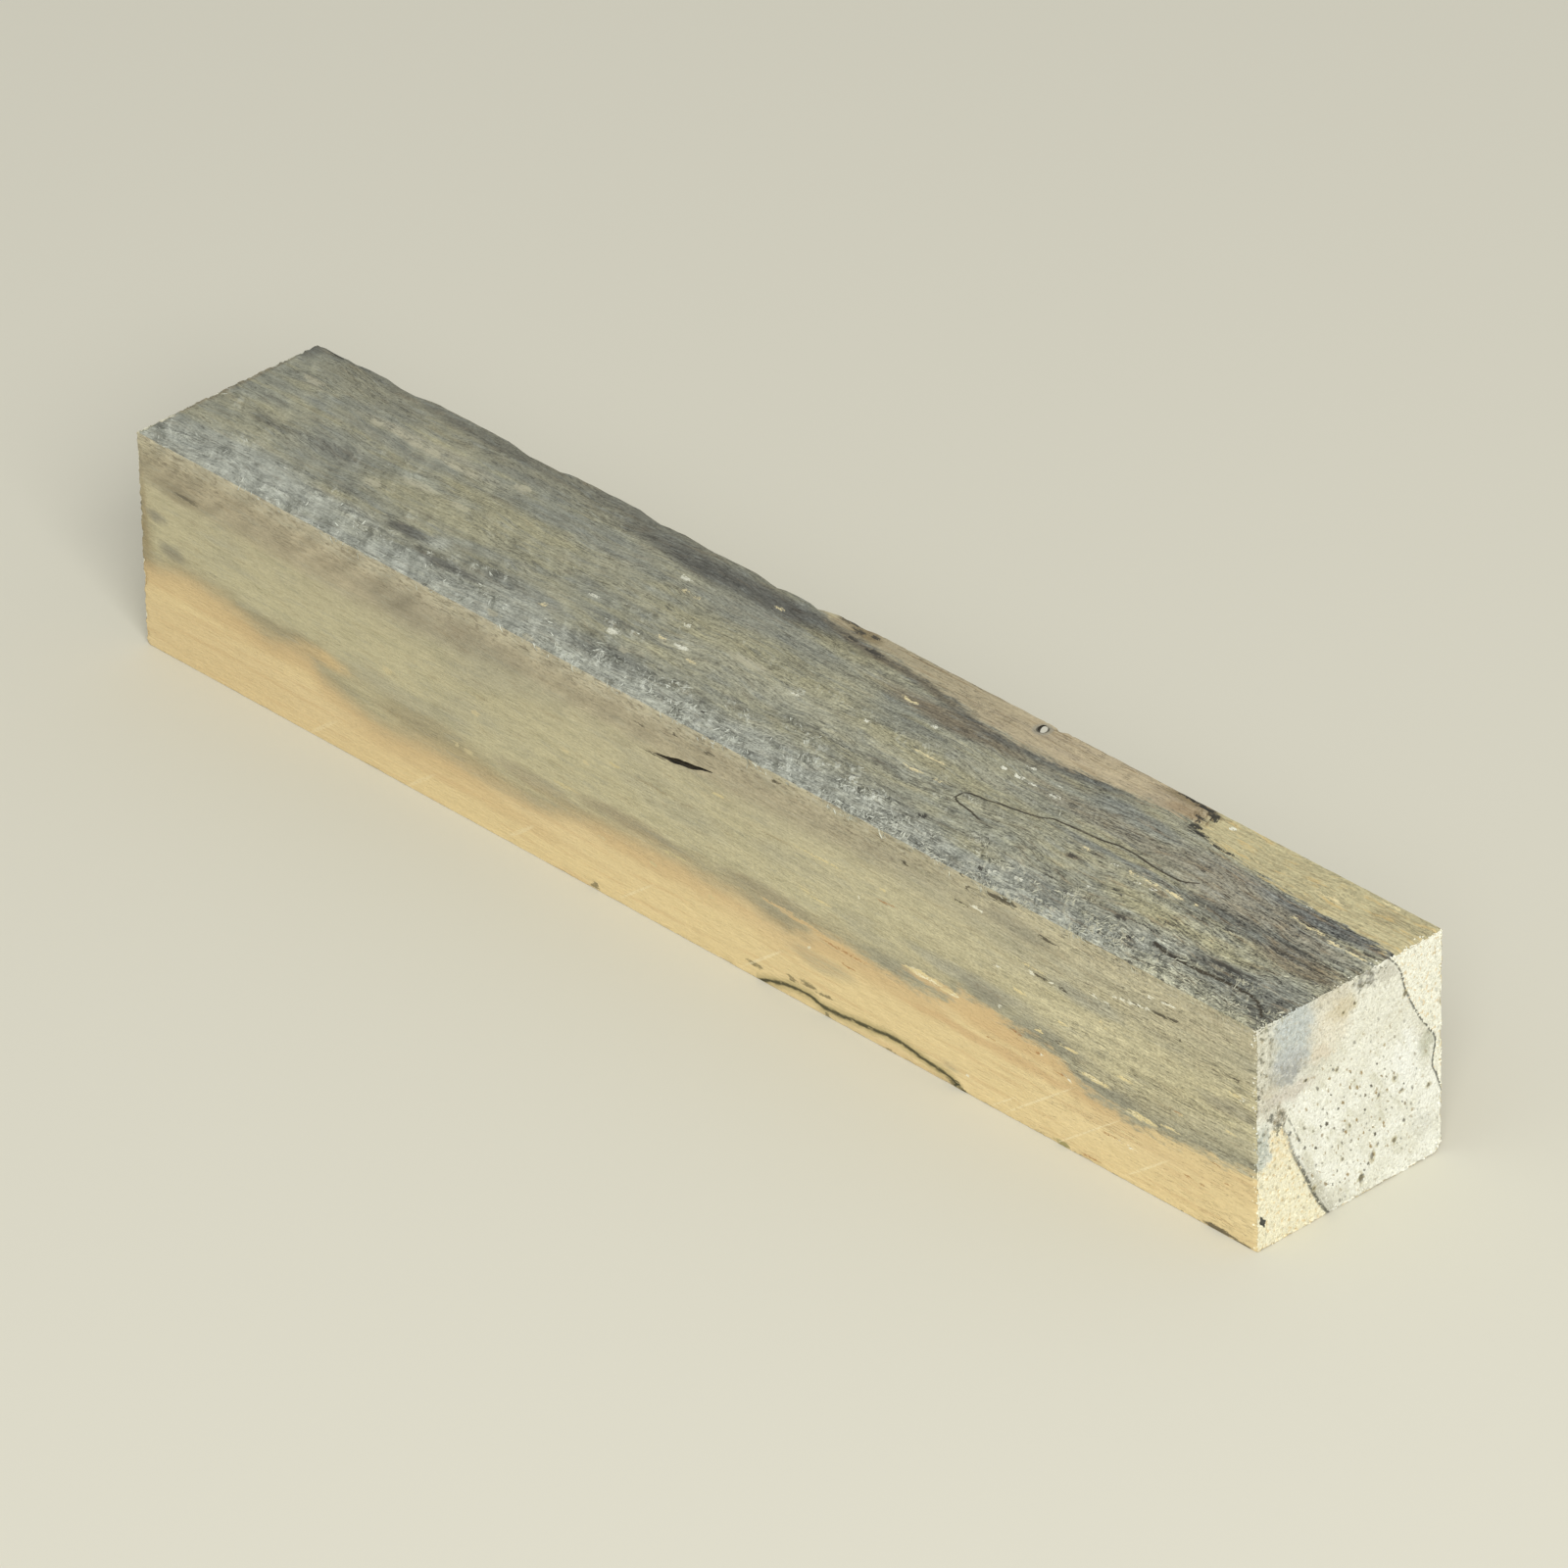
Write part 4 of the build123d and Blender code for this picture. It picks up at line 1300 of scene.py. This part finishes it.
def scatter(name, shape, density, scales, turns, seed):
    """Strews copies of a shape over the stick by a density for each mm2, inside its box."""
    start = geometry_tree(name)[0]
    skin = start.add("GeometryNodeObjectInfo", None, {0: stick}, output="Geometry")
    spread = skin.add(
        "GeometryNodeDistributePointsOnFaces",
        None,
        {"Mesh": skin, "Density": density(start) * mm**-2, "Seed": seed},
    )
    facing = Field(spread.tree, spread.socket.node.outputs["Rotation"])
    turn = start.add(
        "FunctionNodeRandomValue",
        {"data_type": "FLOAT_VECTOR"},
        {0: turns[0], 1: turns[1], "Seed": seed + 1},
    )
    turn = start.add("FunctionNodeEulerToRotation", None, {0: turn})
    turn = start.add(
        "FunctionNodeRotateRotation", {"rotation_space": "LOCAL"}, {0: facing, 1: turn}
    )
    size = start.add(
        "FunctionNodeRandomValue",
        {"data_type": "FLOAT"},
        {2: scales[0], 3: scales[1], "Seed": seed + 2},
        output=1,
    )
    copy = start.add("GeometryNodeObjectInfo", None, {0: shape}, output="Geometry")
    strewn = start.add(
        "GeometryNodeInstanceOnPoints",
        None,
        {"Points": spread, "Instance": copy, "Rotation": turn, "Scale": size},
    )
    strewn = start.add("GeometryNodeRealizeInstances", None, {0: strewn})
    place = start.add("GeometryNodeInputPosition")
    kept = vectors("MINIMUM", vectors("MAXIMUM", place, low), high)
    strewn = start.add("GeometryNodeSetPosition", None, {"Geometry": strewn, "Position": kept})
    return start, strewn


def blank_piece(name, finish):
    bpy.ops.object.select_all(action="DESELECT")
    bpy.ops.mesh.primitive_plane_add(size=1)
    piece = bpy.context.object
    piece.name = name
    piece.data.materials.append(finish)
    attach(piece, "root")
    return piece


bpy.ops.object.select_all(action="DESELECT")
bpy.ops.mesh.primitive_uv_sphere_add(
    segments=3, ring_count=4, radius=0.5, rotation=(0, math.pi / 2, 0)
)
fibre_shape = bpy.context.object
bpy.ops.object.transform_apply(location=False, rotation=True, scale=False)
fibre_shape.scale = fibre_size
bpy.ops.object.transform_apply(location=False, rotation=False, scale=True)
bend = fibre_shape.modifiers.new("bend", "SIMPLE_DEFORM")
bend.deform_method = "BEND"
bend.deform_axis = "Z"
bend.angle = fibre_bend
bpy.ops.object.modifier_apply(modifier=bend.name)

fibre_finish = bpy.data.materials.new("torn fibres")
fibre_shape.data.materials.append(fibre_finish)


def fuzz_density(start):
    torn = start.add("GeometryNodeInputNamedAttribute", {"data_type": "FLOAT"}, {"Name": "fuzz"})
    along, across, deep = sides(start.add("GeometryNodeInputPosition"))[1]["top"]
    on_top = (deep < 0.6) * step(across, 2.5, 6)
    seen_clear = 0.35 + step(along, 30, 84) * 0.65
    return on_top * torn * torn * torn * seen_clear * fibres_per_mm2


torn_fibres = blank_piece("torn_fibres", fibre_finish)
start, strewn = scatter("fibres", fibre_shape, fuzz_density, fibre_scales, fibre_turns, 5)
rulers = sides(start.add("GeometryNodeInputPosition"))[1]
strewn = stained(strewn, "top", rulers)
finish_with(torn_fibres, strewn)
bpy.data.objects.remove(fibre_shape)

start, place, rulers = shader_tree(fibre_finish)
tone = painted(start, "top_stain")
paleness = noise(place, (1.5, 1.5, 1.5), 301, 2)
# Most fibres pale with a painted sheen, some darkened with painted shade.
fibre_tone_and_sheen = mix(silver_fibre_sheen, worn_fibre_sheen, step(rulers["top"][0], 78, 108))
tone = mix(tone, fibre_tone_and_sheen, step(paleness, 0.36, 0.62) * 0.75)
tone = mix(tone, fibre_shade_grey, step(paleness, 0.46, 0.32) * 0.35)
finish_wood(tone, paleness * 0.03, 0.7)

# Crumbs on the near end
# The crosscut has broken the chalky end grain into crumbs. They stand out on the whole face, and
# most along its edges.
crumb_size = 0.28 * mm
crumb_scales = (0.35, 1.0)
crumb_turns = ((-3, -3, -3), (3, 3, 3))
bpy.ops.object.select_all(action="DESELECT")
bpy.ops.mesh.primitive_ico_sphere_add(subdivisions=1, radius=crumb_size / 2)
crumb_shape = bpy.context.object
crumb_shape.scale = (1.0, 0.8, 0.5)
bpy.ops.object.transform_apply(location=False, rotation=False, scale=True)
crumb_finish = bpy.data.materials.new("end grain crumbs")
crumb_shape.data.materials.append(crumb_finish)


def crumb_density(start):
    across, down, from_near = sides(start.add("GeometryNodeInputPosition"))[1]["near"]
    to_edge = width / 2 - most(abs(across - width / 2), abs(down - height / 2))
    return (from_near < 0.6) * (1.0 + step(to_edge, 0.6, 0.1) * 3)


crumbs_piece = blank_piece("end_crumbs", crumb_finish)
start, strewn = scatter("crumbs", crumb_shape, crumb_density, crumb_scales, crumb_turns, 9)
rulers = sides(start.add("GeometryNodeInputPosition"))[1]
strewn = stained(strewn, "near", rulers)
finish_with(crumbs_piece, strewn)
bpy.data.objects.remove(crumb_shape)

start, place, rulers = shader_tree(crumb_finish)
past = painted(start, "near_past", "Fac")
tone = mix(painted(start, "near_stain"), painted(start, "near_clean"), step(past, -0.1, 0.1))
paleness = noise(place, (2.5, 2.5, 2.5), 311, 2)
tone = lit(tone, 0.94 + (paleness - 0.5) * 0.5)
finish_wood(tone, paleness * 0.05, 0.92)

# Floor, light and camera
# A plain pale floor under a soft even light, seen from the same place as the blank's photograph.
bpy.ops.object.select_all(action="DESELECT")
bpy.ops.mesh.primitive_plane_add(size=6)
floor = bpy.context.object
floor.name = "floor"
floor_paint = bpy.data.materials.new("floor paint")
floor_paint.use_nodes = True
floor_shader = floor_paint.node_tree.nodes["Principled BSDF"]
floor_shader.inputs["Base Color"].default_value = linear(212, 209, 192)
floor_shader.inputs["Roughness"].default_value = 0.9
floor.data.materials.append(floor_paint)

world = bpy.data.worlds.new("soft room")
world.use_nodes = True
world.node_tree.nodes["Background"].inputs["Color"].default_value = (1, 1, 1, 1)
world.node_tree.nodes["Background"].inputs["Strength"].default_value = 0.62
bpy.context.scene.world = world

window_data = bpy.data.lights.new("window light", "AREA")
window_data.size = 0.45
window_data.energy = 6.1
window_light = bpy.data.objects.new("window_light", window_data)
bpy.context.scene.collection.objects.link(window_light)
window_light.location = (0.6, -0.42, 0.56)
window_light.rotation_euler = window_light.location.to_track_quat("Z", "Y").to_euler()

camera_azimuth = math.radians(47.21)
camera_elevation = math.radians(31.69)
camera_roll = math.radians(-1.4)
camera_distance = 1.0867
camera_aside = -0.00097
camera_raised = 0.00025
focal_length_px = 14168
picture_px = 1600
backwards = Vector(
    (
        math.sin(camera_azimuth) * math.cos(camera_elevation),
        -math.cos(camera_azimuth) * math.cos(camera_elevation),
        math.sin(camera_elevation),
    )
)
level_right = Vector((math.cos(camera_azimuth), math.sin(camera_azimuth), 0))
upright = backwards.cross(level_right)
right = math.cos(camera_roll) * level_right + math.sin(camera_roll) * upright
up = math.cos(camera_roll) * upright - math.sin(camera_roll) * level_right
camera_data = bpy.data.cameras.new("camera")
camera_data.sensor_width = 36
camera_data.lens = focal_length_px / picture_px * camera_data.sensor_width
camera_data.clip_start = 0.01
camera = bpy.data.objects.new("camera", camera_data)
bpy.context.scene.collection.objects.link(camera)
middle = Vector((0, 0, height / 2 * mm))
camera.location = middle - camera_aside * right - camera_raised * up + camera_distance * backwards
camera.rotation_euler = Matrix((right, up, backwards)).transposed().to_euler()
bpy.context.scene.camera = camera
bpy.context.scene.view_settings.view_transform = "Standard"
